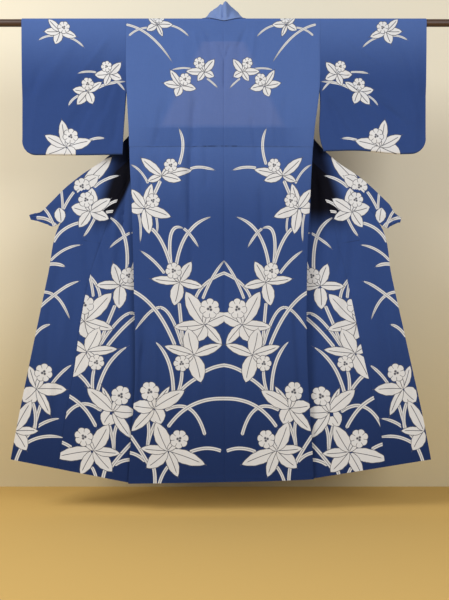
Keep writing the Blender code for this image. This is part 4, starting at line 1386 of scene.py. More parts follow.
@dataclass
class Sleeve(ClothPiece):
    """One sleeve: a flat tube over the rod, open at the body and at the cuff, sewn shut below the cuff."""

    side: Side = Side.LEFT
    step: float = 0.0054
    squeeze: float = 1.0

    @staticmethod
    def _places() -> tuple[np.ndarray, np.ndarray]:
        """Where the grid's points lie: closer together round the bottom fold, over the rod and at the corner.

        Returns:
            Places around the section, 0 at the bottom fold and 0.5 on the rod, and places across to the cuff.
        """
        low = np.linspace(0.0, SLEEVE_FOLD_ENDS, 7)[:-1]
        run = np.linspace(SLEEVE_FOLD_ENDS, SLEEVE_TURN_STARTS, 80)[:-1]
        half = np.concatenate([low, run, np.linspace(SLEEVE_TURN_STARTS, 1.0, 10)])
        around = np.concatenate([half / 2, 1.0 - half[-2:0:-1] / 2])[:, None]
        even = np.linspace(0.0, SLEEVE_CORNER_STARTS, 56)
        bend = 1.0 - 0.137 * (1.0 - np.sin(np.linspace(0.0, math.pi / 2, 16)[1:]))
        across = np.concatenate([even, bend])[None, :]
        return around + 0 * across, across + 0 * around

    def _section(self, around: np.ndarray, across: np.ndarray) -> tuple[np.ndarray, ...]:
        """The tube's section at each place, still flat: half an outline, the same in front and behind.

        It is a straight run up from the bottom fold, which is a quarter ellipse, to a quarter circle over the rod.
        The bottom rises at the cuff as a quarter circle, and the tube is pinched shut below the hand's opening.

        Args:
            around: Places around the section.
            across: Places across to the cuff.

        Returns:
            The bottom fold's height, the angle over the rod, the tube's half depth and the height.
        """
        reach = SLEEVE_INNER + (SLEEVE_OUTER - SLEEVE_INNER) * across
        into = np.clip((reach - (SLEEVE_OUTER - SLEEVE_CORNER)) / SLEEVE_CORNER, 0.0, 1.0)
        lift = SLEEVE_CORNER * (1.0 - np.sqrt(np.maximum(1.0 - into**2, 0.0)))
        bottom = looked_up(SLEEVE_BOTTOM[self.side], SLEEVE_BOTTOM_COLUMNS, "z", reach) + lift
        part = np.where(around < 0.5, around, 1.0 - around) * 2.0
        over = np.clip((part - SLEEVE_TURN_STARTS) / (1.0 - SLEEVE_TURN_STARTS), 0.0, 1.0) * math.pi / 2
        under = np.clip(1.0 - part / SLEEVE_FOLD_ENDS, 0.0, 1.0) * math.pi / 2
        run_part = np.clip((part - SLEEVE_FOLD_ENDS) / (SLEEVE_TURN_STARTS - SLEEVE_FOLD_ENDS), 0.0, 1.0)
        closing = smooth((reach - (SLEEVE_OUTER - SLEEVE_PINCH_REACH)) / SLEEVE_PINCH_REACH)
        low_half = SLEEVE_LOW_HALF + (SLEEVE_PINCH - SLEEVE_LOW_HALF) * closing
        z = np.where(over > 0, HANG_RADIUS * np.sin(over), bottom + low_half - (bottom + low_half) * run_part)
        z = np.where(under > 0, bottom + low_half - low_half * np.sin(under), z)
        open_half = HANG_RADIUS + (low_half - HANG_RADIUS) * smooth(-z / 0.40)
        shut = closing * smooth((-z - CUFF_DEPTH + 0.03) / 0.05)
        depth = open_half + (SLEEVE_PINCH - open_half) * shut
        depth = np.where(over > 0, HANG_RADIUS * np.cos(over), depth)
        depth = np.where(under > 0, low_half * np.cos(under), depth)
        return bottom, over, depth, z

    def surface(self) -> tuple[np.ndarray, np.ndarray]:
        """The section carried from the body, whose side and slit it follows, to the cuff, with its creases.

        Returns:
            A grid of points and the chart place of each.
        """
        around, across = self._places()
        bottom, over, depth, z = self._section(around, across)
        sign = np.where(around < 0.5, -1.0, 1.0)
        slit = looked_up(SLIT[self.side], SLIT_COLUMNS, "open", z)
        inner = side_width(self.side, z) + SEAM_GAP + np.maximum(slit, 0.0)
        width = inner + (SLEEVE_OUTER - inner) * across
        x = self.side.value * width
        calm = smooth(-z / 0.08) * smooth((z - bottom) / 0.05)
        calm = calm * smooth((1.0 - across) / 0.12) * smooth(across / 0.1)
        creases = (*SLEEVE_CREASES[self.side], *SLEEVE_FINE[self.side])
        wave = crease_depth(x, z, creases) + ripples(x, z, 3.0)
        far_wave = crease_depth(x, z + 0.03, creases) * 0.7 + ripples(x, z, 7.0)
        y = sign * depth + calm * np.where(sign < 0, wave, np.minimum(far_wave, 0.0035))
        drop = np.where(over > 0, -HANG_RADIUS * over, -z)
        chart = np.stack([width / self.squeeze, drop], -1) / SQUARE
        return np.stack([x, y, z], -1), chart


@dataclass
class Collar(ClothPiece):
    """The folded band from one front's drawn-out end, round the back of the neck, to the other's."""

    step: float = 0.0046
    columns: int = 16
    squeeze: float = 0.955

    @staticmethod
    def _drop_lines(side: Side) -> np.ndarray:
        """Control lines along one front, from the low end up: the band leaves the cloth's edge and leans over.

        Args:
            side: Which front.

        Returns:
            Three points for each line: sewn edge, bend and folded edge.
        """
        on_overlap, on_front = np.arange(0.715, 0.266, -0.012), np.arange(0.250, 0.055, -0.0125)
        below = np.concatenate([on_overlap, [OVERLAP_TOP], on_front, [0.050]])
        pair = np.array([0.97, 1.0])
        low = overlap_grid(side, pair, np.maximum(below, OVERLAP_TOP))
        high = front_grid(side, pair, below)
        ends = np.where((below >= OVERLAP_TOP)[:, None, None], low, high)
        lead = unit(ends[:, 1] - ends[:, 0])
        named = {name: looked_up(DROP_COLLAR, DROP_COLUMNS, name, below) for name in DROP_COLUMNS[1:]}
        way = unit(np.stack([side.value * named["outward"], named["backward"], named["up"]], -1))
        lap = smooth((below - 0.06) / 0.05)[:, None]
        under = ends[:, 1] - lead * (COLLAR_CLEAR + SEAM_LAP) * lap
        under[:, 1] += (CLOTH_WALL + COLLAR_WALL + 0.0004) / 2 * lap[:, 0]
        return Collar._controls(under, lead, ends[:, 1] + way * named["width"][:, None])

    @staticmethod
    def _controls(edge: np.ndarray, lead: np.ndarray, fold: np.ndarray) -> np.ndarray:
        """Three control points of each line across: the band first leaves along the cloth it is sewn to.

        Args:
            edge: The edge of the cloth.
            lead: Which way the cloth points there.
            fold: The band's folded edge.

        Returns:
            Sewn edge, bend and folded edge.
        """
        sewn = edge + lead * COLLAR_CLEAR
        bend = sewn + lead * COLLAR_LEAD * np.linalg.norm(fold - edge, axis=-1, keepdims=True)
        return np.stack([sewn, bend, fold], axis=1)

    @staticmethod
    def _tip_lines(side: Side) -> np.ndarray:
        """Straight lines across the drawn-out end, from the tip.

        Args:
            side: Which end.

        Returns:
            Three points for each line.
        """
        turned = np.array([side.value, 1.0, 1.0])
        table = np.array(COLLAR_TIP[side][::-1])
        sewn, fold = table[:, :3] * turned, table[:, 3:] * turned
        return np.stack([sewn, (sewn + fold) / 2, fold], axis=1)

    @staticmethod
    def _stand_lines(side: Side) -> np.ndarray:
        """Lines where the band stands on its sewn edge beside the shoulder point.

        Args:
            side: Which shoulder.

        Returns:
            Three points for each line.
        """
        turned = np.array([side.value, 1.0, 1.0])
        edge = np.array(STAND) * turned
        row = dict(zip(DROP_COLUMNS[1:], DROP_COLLAR[0][1:], strict=True))
        way = unit(np.array([side.value * row["outward"], row["backward"], row["up"]]))
        lead = np.stack([0 * edge[:, 0], np.maximum(edge[:, 1], 0), np.maximum(edge[:, 2], 0)], -1)
        lead = unit(lead + way * 0.01)
        return Collar._controls(edge, lead, edge + unit(way + lead * 0.2) * row["width"])

    @staticmethod
    def _neck_lines() -> np.ndarray:
        """Lines behind the neck, from the left shoulder point to the right one, along the neckline on the rod.

        Returns:
            Three points for each line.
        """
        place = np.linspace(-0.95, 0.95, 15)
        angle = neck_angle(place * NECK_HALF)
        edge = np.stack([place * NECK_HALF, -COLLAR_RADIUS * np.cos(angle), COLLAR_RADIUS * np.sin(angle)], -1)
        named = {name: looked_up(NECK_COLLAR, NECK_COLUMNS, name, np.abs(place)) for name in NECK_COLUMNS[1:]}
        sideways = named["sideways"] * np.sign(place)
        way = unit(np.stack([sideways, named["backward"], named["up"]], -1))
        lead = np.stack([0 * place, np.sin(angle), np.cos(angle)], -1)
        lap = (1.0 - smooth((np.abs(place) - 0.6) / 0.3))[:, None]
        over = edge * (1 + 0.11 * lap * np.array([0.0, 1.0, 1.0])) - lead * (COLLAR_CLEAR + 0.0016) * lap
        return Collar._controls(over, lead, edge + way * named["width"][:, None])

    def surface(self) -> tuple[np.ndarray, np.ndarray]:
        """Key lines thickened along the band; each line is a quadratic curve from the sewn edge to the fold.

        Returns:
            A grid of points and the chart place of each.
        """
        keys = [
            self._tip_lines(Side.LEFT),
            self._drop_lines(Side.LEFT),
            self._stand_lines(Side.LEFT),
            self._neck_lines(),
            self._stand_lines(Side.RIGHT)[::-1],
            self._drop_lines(Side.RIGHT)[::-1],
            self._tip_lines(Side.RIGHT)[::-1],
        ]
        lines = thickened(np.concatenate(keys), self.step)
        share = np.linspace(0.0, 1.0, self.columns)[None, :, None]
        sewn, bend, fold = (lines[:, [i]] for i in range(3))
        grid = (1 - share) ** 2 * sewn + 2 * share * (1 - share) * bend + share**2 * fold
        grid = self._crumpled(grid, share[..., 0])
        side = np.where(grid[..., 0] < 0, -grid[..., 0], grid[..., 0] / self.squeeze)
        return grid, np.stack([side, -grid[..., 2]], -1) / SQUARE

    @staticmethod
    def _crumpled(grid: np.ndarray, share: np.ndarray) -> np.ndarray:
        """Soft upright folds behind the neck, its notched top and the gathers at the two ends: all bells and waves.

        Args:
            grid: The points, moved in place.
            share: The way from the sewn edge (0) to the folded edge (1).

        Returns:
            The same grid.
        """
        x, z = grid[..., 0], grid[..., 2]
        behind = smooth((0.085 - np.abs(x)) / 0.02) * smooth((z + 0.01) / 0.02)
        rise = smooth(share / 0.35)
        for place, across, deep, lean in NECK_FOLDS:
            middle = place + lean * (0.030 - z) * 0.5
            grid[..., 1] += deep * behind * rise * np.exp(-(((x - middle) / across) ** 2))
        for place, across, height in NECK_TOP:
            grid[..., 2] += height * behind * share**2 * np.exp(-(((x - place) / across) ** 2))
        low = smooth((-z - 0.45) / 0.08)
        grid[..., 1] += gathered(grid) * low * smooth(share / 0.15)
        grid[..., 1] += ripples(x, z, 4.0) * smooth(share / 0.3) * 0.8
        return grid


@dataclass
class Rod:
    """The dark wooden rod: a bar turned about X with eased ends, round faces and a trace of turning marks."""

    finish: "DarkWood"
    sides: int = 72

    def build(self) -> bpy.types.Object:
        """A profile of radii along X turned about the axis, closed by a crowned disc at each end.

        Returns:
            The finished rod.
        """
        half = ROD_LENGTH / 2
        ends = np.array(ROD_END)
        middle = np.linspace(-half + 0.02, half - 0.02, 61)
        along = np.concatenate([-half + ends[1:, 0], middle, half - ends[:0:-1, 0]])
        radii = np.concatenate([ends[1:, 1], np.full(len(middle), ROD_RADIUS), ends[:0:-1, 1]])
        radii[5:-5] -= 0.00005 * (1 + np.sin(along[5:-5] * 60))
        turn = np.linspace(0.0, 2 * math.pi, self.sides, endpoint=False)
        ring = np.stack([0 * turn, np.cos(turn), np.sin(turn)], -1)
        points = ring[None] * radii[:, None, None] + along[:, None, None] * np.array([1.0, 0.0, 0.0])
        numbers = np.arange(points.shape[0] * self.sides).reshape(points.shape[:2])
        after = np.roll(numbers, -1, axis=1)
        quads = np.stack([numbers[:-1], after[:-1], after[1:], numbers[1:]], -1).reshape(-1, 4)
        first, last = numbers.size, numbers.size + 1
        caps = [(first, b, a) for a, b in zip(numbers[0].tolist(), after[0].tolist(), strict=True)]
        caps += [(last, a, b) for a, b in zip(numbers[-1].tolist(), after[-1].tolist(), strict=True)]
        tips = [(-half, 0.0, 0.0), (half, 0.0, 0.0)]
        mesh = bpy.data.meshes.new("rod_bar")
        mesh.from_pydata(points.reshape(-1, 3).tolist() + tips, [], quads.tolist() + caps)
        mesh.polygons.foreach_set("use_smooth", np.ones(len(mesh.polygons), bool))
        mesh.set_sharp_from_angle(angle=math.radians(40))
        mesh.materials.append(self.finish.material())
        piece = put("rod_bar", mesh)
        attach(piece, "root")
        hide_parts("rod")
        LOG.info("rod: %d faces", len(mesh.polygons))
        return piece


class Socket:
    """A node's output that can be reckoned with: the operators make Math nodes."""

    def __init__(self, graph: "Graph", out: bpy.types.NodeSocket) -> None:
        """Keeps the graph and the output."""
        self.graph = graph
        self.out = out

    def __add__(self, other: Any) -> "Socket":
        """Sum."""
        return self.graph.math("ADD", self, other)

    def __sub__(self, other: Any) -> "Socket":
        """Difference."""
        return self.graph.math("SUBTRACT", self, other)

    def __rsub__(self, other: Any) -> "Socket":
        """Difference from a number."""
        return self.graph.math("SUBTRACT", other, self)

    def __mul__(self, other: Any) -> "Socket":
        """Product."""
        return self.graph.math("MULTIPLY", self, other)

    def __truediv__(self, other: Any) -> "Socket":
        """Quotient."""
        return self.graph.math("DIVIDE", self, other)

    def __pow__(self, other: Any) -> "Socket":
        """Power."""
        return self.graph.math("POWER", self, other)

    def __abs__(self) -> "Socket":
        """Size without its sign."""
        return self.graph.math("ABSOLUTE", self)

    __radd__ = __add__
    __rmul__ = __mul__

    def held(self) -> "Socket":
        """Kept between 0 and 1."""
        return self.graph.math("ADD", self, 0.0, clamp=True)

    def top(self, other: Any) -> "Socket":
        """The larger of the two."""
        return self.graph.math("MAXIMUM", self, other)

    def low(self, other: Any) -> "Socket":
        """The smaller of the two."""
        return self.graph.math("MINIMUM", self, other)

    def sine(self) -> "Socket":
        """Its sine."""
        return self.graph.math("SINE", self)

    def fading(self, start: float, end: float) -> "Socket":
        """Eases from 0 at the start to 1 at the end.

        Args:
            start: Where it is still 0.
            end: Where it is 1.

        Returns:
            The eased value.
        """
        ranged = self.graph.node(
            "ShaderNodeMapRange",
            {"interpolation_type": "SMOOTHSTEP"},
            {"Value": self, "From Min": start, "From Max": end},
        )
        return Socket(self.graph, ranged.outputs["Result"])


class Graph:
    """A material's node tree, made by one helper for plain nodes and two for sums and mixes."""

    def __init__(self, name: str) -> None:
        """Makes an empty material.

        Args:
            name: The material's name.
        """
        self.material = bpy.data.materials.new(name)
        self.material.use_nodes = True
        self.tree = self.material.node_tree
        self.tree.nodes.clear()

    def node(self, kind: str, settings: dict[str, Any], inputs: dict[Any, Any]) -> bpy.types.Node:
        """Adds a node.

        Args:
            kind: The node's type.
            settings: Its own settings by name.
            inputs: Its inputs by name or number: sockets are linked, other values are set.

        Returns:
            The new node.
        """
        made = self.tree.nodes.new(kind)
        for key, value in settings.items():
            setattr(made, key, value)
        for key, value in inputs.items():
            if isinstance(value, Socket):
                self.tree.links.new(value.out, made.inputs[key])
            else:
                made.inputs[key].default_value = value
        return made

    def math(self, operation: str, *values: Any, clamp: bool = False) -> Socket:
        """A Math node of one or two values.

        Args:
            operation: What it reckons.
            values: Sockets or numbers.
            clamp: Whether the result is kept between 0 and 1.

        Returns:
            The result.
        """
        settings = {"operation": operation, "use_clamp": clamp}
        return Socket(self, self.node("ShaderNodeMath", settings, dict(enumerate(values))).outputs[0])

    def mix(self, share: Any, low: Any, high: Any, blend: str = "MIX") -> Socket:
        """A colour between two, by a share.

        Args:
            share: How much of the second colour.
            low: The first colour.
            high: The second colour.
            blend: How they are blended.

        Returns:
            The colour.
        """
        inputs = {0: share, 6: low, 7: high}
        settings = {"data_type": "RGBA", "blend_type": blend}
        return Socket(self, self.node("ShaderNodeMix", settings, inputs).outputs[2])

    def parts(self, vector: Socket) -> tuple[Socket, Socket, Socket]:
        """A vector's three numbers."""
        split = self.node("ShaderNodeSeparateXYZ", {}, {0: vector})
        return tuple(Socket(self, out) for out in split.outputs)

    def attribute(self, name: str) -> tuple[Socket, Socket, Socket]:
        """The three numbers of one of the mesh's own attributes."""
        read = self.node("ShaderNodeAttribute", {"attribute_name": name}, {})
        return self.parts(Socket(self, read.outputs["Vector"]))

    def place(self) -> tuple[Socket, Socket, Socket]:
        """The place in the object's own metres."""
        read = self.node("ShaderNodeTexCoord", {}, {})
        return self.parts(Socket(self, read.outputs["Object"]))

    def noise(self, x: Any, y: Any, z: Any, detail: float = 2.0) -> Socket:
        """Noise from 0 to 1 at a place.

        Args:
            x: First number of the place, already scaled.
            y: Second number.
            z: Third number.
            detail: How many finer layers are added.

        Returns:
            The noise.
        """
        at = self.node("ShaderNodeCombineXYZ", {}, {0: x, 1: y, 2: z})
        inputs = {"Vector": Socket(self, at.outputs[0]), "Scale": 1.0, "Detail": detail}
        return Socket(self, self.node("ShaderNodeTexNoise", {}, inputs).outputs[0])

    def close(self, inputs: dict[Any, Any], height: Socket, strength: float, distance: float) -> bpy.types.Material:
        """Ends the tree with a Principled surface and a fine bump.

        Args:
            inputs: The surface's inputs.
            height: The bump's height.
            strength: The bump's strength.
            distance: The bump's depth in metres.

        Returns:
            The material.
        """
        bump = self.node("ShaderNodeBump", {}, {"Height": height, "Strength": strength, "Distance": distance})
        surface = self.node("ShaderNodeBsdfPrincipled", {}, {**inputs, "Normal": Socket(self, bump.outputs[0])})
        self.node("ShaderNodeOutputMaterial", {}, {0: Socket(self, surface.outputs[0])})
        return self.material


@dataclass(frozen=True)
class PrintedCotton:
    """Unlined cotton with a paste-resist print: cream flowers and leaves with navy lines on a mid blue.

    The ground goes from the upper blue to the middle one and on to the low one, in metres down, as painted light and
    shade:
    lighter near the rod and darker towards the hem. The four numbers of change are where each step starts and ends.
    Line widths, softness and spreads are in metres on the cloth.
    """

    name: str
    # Painted light and shade: the lit blue near the rod, the middle blue, and the shaded low blue towards the hem.
    upper: Colour = (0.068, 0.130, 0.352, 1.0)
    blue: Colour = (0.026, 0.060, 0.205, 1.0)
    low: Colour = (0.0105, 0.027, 0.104, 1.0)
    change: tuple[float, float, float, float] = (0.26, 0.72, 0.85, 1.50)
    cream: Colour = (0.660, 0.680, 0.705, 1.0)
    navy: Colour = (0.010, 0.014, 0.040, 1.0)
    # Painted light that shows through the thin cloth below the neck.
    lilac: Colour = (0.128, 0.172, 0.375, 1.0)
    roughness: float = 0.86
    shine: float = 0.12
    sheen: float = 0.05
    sheen_roughness: float = 0.5
    weave_depth: float = 0.0004
    # Whether the painted light below the neck is laid on.
    has_patch: bool = False
    tucks: tuple[tuple[float, float, float, float, float], ...] = ()
    # Painted shadow in the hollow beside the back's edge: its strength and its near-black colour.
    hollow: float = 0.0
    hollow_colour: Colour = (0.0008, 0.0010, 0.0050, 1.0)
    reverse_colour: Colour = (0.30, 0.36, 0.48, 1.0)
    seed: float = 0.0
    line: float = 0.00060
    rib_line: float = 0.00056
    leaf_line: float = 0.00055
    soft: float = 0.0003
    leaf_spread: float = 0.0004
    petal_spread: float = 0.0010
    lip_spread: float = 0.0008
    throat: tuple[tuple[float, float], ...] = ((0.16, 0.0), (-0.10, 0.15), (-0.09, -0.16))

    def _leaf(self, graph: Graph, layer: str) -> tuple[Socket, Socket]:
        """A leaf: half width 1.22 (4 a (1 - a))^0.55, held at 1, with a greyish vein and an outline.

        Args:
            graph: The material being made.
            layer: The attribute with the leaf's coordinates.

        Returns:
            Where the leaf covers the ground, and how strong its lines are.
        """
        along, across, half = graph.attribute(layer)
        profile = ((4.0 * along * (1.0 - along)).top(0.0) ** 0.55 * 1.22).low(1.0) * 0.80
        depth = (profile - abs(across)) * half
        vein = ((0.26 - abs(across)) * 9.0).held() * along.fading(0.02, 0.10) * 0.55
        edge = (1.5 - abs(depth) / self.leaf_line).held() * 0.9
        return ((depth + self.leaf_spread) / self.soft).held(), vein.top(edge)

    def _petal(self, graph: Graph, layer: str, turn: float) -> tuple[Socket, Socket]:
        """A petal: half width 3 a^0.72 (1 - a)^0.82, made wavy by a sine, with an outline and a curved midrib.

        Args:
            graph: The material being made.
            layer: The attribute with the petal's coordinates.
            turn: Shifts the waves.

        Returns:
            Where the petal covers what lies under it, and how strong its lines are.
        """
        along, across, half = graph.attribute(layer)
        inside = along.top(0.0) ** 0.72 * (1.0 - along).top(0.0) ** 0.82 * 3.0
        wavy = inside * ((along * 26.0 + turn).sine() * 0.025 + 1.0)
        depth = (wavy - abs(across)) * half
        outline = (2.3 - abs(depth) / self.line).held()
        rib = (2.4 - abs(across - (along * math.pi).sine() * 0.10) * half / self.rib_line).held()
        rib = rib * (1.0 - along.fading(0.80, 0.88)) * along.fading(0.03, 0.08)
        return ((depth + self.petal_spread) / self.soft).held(), outline.top(rib)

    def _lip(self, graph: Graph, layer: str) -> tuple[Socket, Socket]:
        """A lip: radius 0.86 + 0.22 |sin(3.5 turn + 0.6)|^0.5, so seven lobes, parted by lines, and three dots.

        Args:
            graph: The material being made.
            layer: The attribute with the lip's coordinates.

        Returns:
            Where the lip covers what lies under it, and how strong its lines are.
        """
        along, across, radius = graph.attribute(layer)
        away = (along * along + across * across) ** 0.5
        turn = graph.math("ARCTAN2", across, along)
        scallop = abs((turn * 3.5 + 0.6).sine())
        depth = (scallop**0.5 * 0.22 + 0.86 - away) * radius
        outline = (2.3 - abs(depth) / self.line).held()
        lobes = (1.7 - scallop * away * radius / 0.0022).held() * away.fading(0.46, 0.60)
        lines = outline.top(lobes)
        for x, y in self.throat:
            gap = ((along - x) * (along - x) + (across - y) * (across - y)) ** 0.5
            lines = lines.top((1.9 - gap * 10.0).held())
        return ((depth + self.lip_spread) / self.soft).held(), lines

    def _print(self, graph: Graph) -> tuple[Socket, Socket]:
        """Lays the layers over one another from the leaves up: each covers what lies under it.

        Args:
            graph: The material being made.

        Returns:
            Where the print covers the ground, and how strong its lines are.
        """
        mask, line = self._leaf(graph, "leaf_2")
        line = line * mask
        upper = [self._leaf(graph, "leaf_1")]
        petals = range(Kind.PETAL.value, 0, -1)
        upper += [self._petal(graph, f"petal_{number}", number * 2.1 + self.seed) for number in petals]
        upper.append(self._lip(graph, "lip_1"))
        for new_mask, new_line in upper:
            line = line * (1.0 - new_mask) + new_line * new_mask
            mask = mask.top(new_mask)
        return mask, line

    def _ground(self, graph: Graph, u: Socket, v: Socket) -> Socket:
        """The blue, darker downwards in two eased steps of painted shade, with the painted light that shows through it
        and the tucks' stitching.

        Args:
            graph: The material being made.
            u: Metres outwards along the chart.
            v: Metres down.

        Returns:
            The ground's colour.
        """
        # Painted light and shade: lighter near the rod, darker in two steps towards the hem.
        start, end, low_start, low_end = self.change
        ground = graph.mix(v.fading(start, end), self.upper, self.blue)
        ground = graph.mix(v.fading(low_start, low_end), ground, self.low)
        if self.has_patch:
            ground = self._patch(graph, u, v, ground)
        return self._stitched(graph, ground)

    def _patch(self, graph: Graph, u: Socket, v: Socket, ground: Socket) -> Socket:
        """Below the neck: painted light that shows through the thin cloth, wider downwards, and the doubled cloth
        above the tuck, drawn towards the middle blue.

        Args:
            graph: The material being made.
            u: Metres outwards along the chart.
            v: Metres down.
            ground: The ground's colour so far.

        Returns:
            The ground's colour with both.
        """
        reach = 0.069 + 0.5 * (v - 0.065)
        inside = v.fading(0.062, 0.068) * (1.0 - v.fading(0.330, 0.350))
        inside = inside * (1.0 - (abs(u) - reach).fading(-0.016, 0.014))
        # Painted light that shows through the thin cloth below the neck.
        ground = graph.mix(inside * 0.42, ground, self.lilac)
        folded = v.fading(0.343, 0.348) * (1.0 - v.fading(0.4045, 0.4055)) * (1.0 - u.fading(0.20, 0.29))
        return graph.mix(folded * 0.30, ground, self.blue)

    def _stitched(self, graph: Graph, ground: Socket) -> Socket:
        """The tucks' dark stitching: a thin line along each tuck, broken by noise.

        Args:
            graph: The material being made.
            ground: The ground's colour so far.

        Returns:
            The ground's colour with the stitching.
        """
        x, _, z = graph.place()
        for left, left_z, right, right_z, strength in self.tucks:
            slope = (right_z - left_z) / (right - left)
            gap = abs(z - (left_z - slope * left) - x * slope)
            span = x.fading(left, left + 0.004) * (1.0 - x.fading(right - 0.004, right))
            broken = graph.noise(x * 60.0, 0.0, self.seed).fading(0.35, 0.65) * 0.5 + 0.1
            ground = graph.mix((1.4 - gap / 0.0014).held() * span * broken * strength, ground, self.navy)
        return ground

    def _shade(self, graph: Graph, reverse: Socket) -> Socket:
        """How deep the painted shadow is in the hollow beside the back's edge: a wedge that leans outwards going down.

        Args:
            graph: The material being made.
            reverse: One on the cloth's wrong side.

        Returns:
            Strength from 0 to the painted shadow's full strength, between an inner line (left only) and a soft outer
            line.
        """
        x, _, z = graph.place()
        # One on the right side, where the body's edge lies nearer to the centre.
        right = x.fading(-0.1, 0.1)
        past = abs(x) - 0.311 + right * 0.020
        outer = 1.0 - (past + (z + 0.44) * 0.30).fading(0.028, 0.084)
        flap = (past + (z + 0.526) * 0.46).fading(-0.004, 0.010).top(right)
        tall = z.fading(-0.70, -0.60) * (1.0 - z.fading(-0.345, -0.26))
        return outer * flap * past.fading(-0.012, -0.002) * tall * (1.0 - reverse) * self.hollow

    def material(self) -> bpy.types.Material:
        """The finish, made once.

        Returns:
            A material that reads the cloth's own coordinates and the print's layers.
        """
        if self.name in bpy.data.materials:
            return bpy.data.materials[self.name]
        graph = Graph(self.name)
        u, v, reverse = graph.attribute("cloth")
        mask, line = self._print(graph)
        ground = self._ground(graph, u, v)
        # Painted shadow in the hollow beside the back's edge, laid on the ground under the print.
        if self.hollow:
            ground = graph.mix(self._shade(graph, reverse), ground, self.hollow_colour)
        colour = graph.mix(mask, ground, self.cream)
        colour = graph.mix((line * 0.92).held(), colour, self.navy)
        weft = graph.noise(u * 40.0, v * 900.0, self.seed, 1.0)
        warp = graph.noise(u * 900.0, v * 40.0, self.seed + 3.0, 1.0)
        cloud = graph.noise(u * 9.0, v * 7.0, self.seed + 7.0, 3.0)
        shade = 0.86 + weft * 0.10 + warp * 0.10 + cloud * 0.10 - 0.02
        grey = graph.node("ShaderNodeCombineColor", {}, {0: shade, 1: shade, 2: shade})
        colour = graph.mix(1.0, colour, Socket(graph, grey.outputs[0]), "MULTIPLY")
        colour = graph.mix(reverse * 0.16, colour, self.reverse_colour)
        inputs = {
            "Base Color": colour,
            "Roughness": self.roughness + 0.06 * (cloud - 0.5),
            "Specular IOR Level": self.shine,
            "Sheen Weight": self.sheen,
            "Sheen Roughness": self.sheen_roughness,
        }
        return graph.close(inputs, weft + warp + cloud * 0.5, 0.35, self.weave_depth)


@dataclass(frozen=True)
class DarkWood:
    """Dark stained wood with a grain along the rod."""

    name: str = "rod wood"
    light: Colour = (0.095, 0.046, 0.026, 1.0)
    dark: Colour = (0.022, 0.011, 0.008, 1.0)

    def material(self) -> bpy.types.Material:
        """The finish: streaks of noise stretched along X between two browns.

        Returns:
            The material.
        """
        graph = Graph(self.name)
        x, y, z = graph.place()
        streaks = graph.noise(x * 6.0, y * 260.0, z * 260.0, 4.0)
        broad = graph.noise(x * 2.0, y * 40.0, z * 40.0, 2.0)
        colour = graph.mix((streaks * 0.8 + broad * 0.5 - 0.15).held(), self.dark, self.light)
        inputs = {"Base Color": colour, "Roughness": 0.38 + streaks * 0.16}
        return graph.close(inputs, streaks, 0.25, 0.0004)


@dataclass(frozen=True)
class Lamp:
    """One square area light: its place, its turn in degrees, its size, its power and its tint."""

    name: str
    at: Place
    turn: Place
    size: float
    power: float
    tint: Place

    def build(self) -> None:
        """Puts the light up."""
        lamp = bpy.data.lights.new(self.name, "AREA")
        lamp.energy, lamp.size, lamp.color = self.power, self.size, self.tint
        placed = put(self.name, lamp)
        placed.location = self.at
        placed.rotation_euler = [math.radians(value) for value in self.turn]


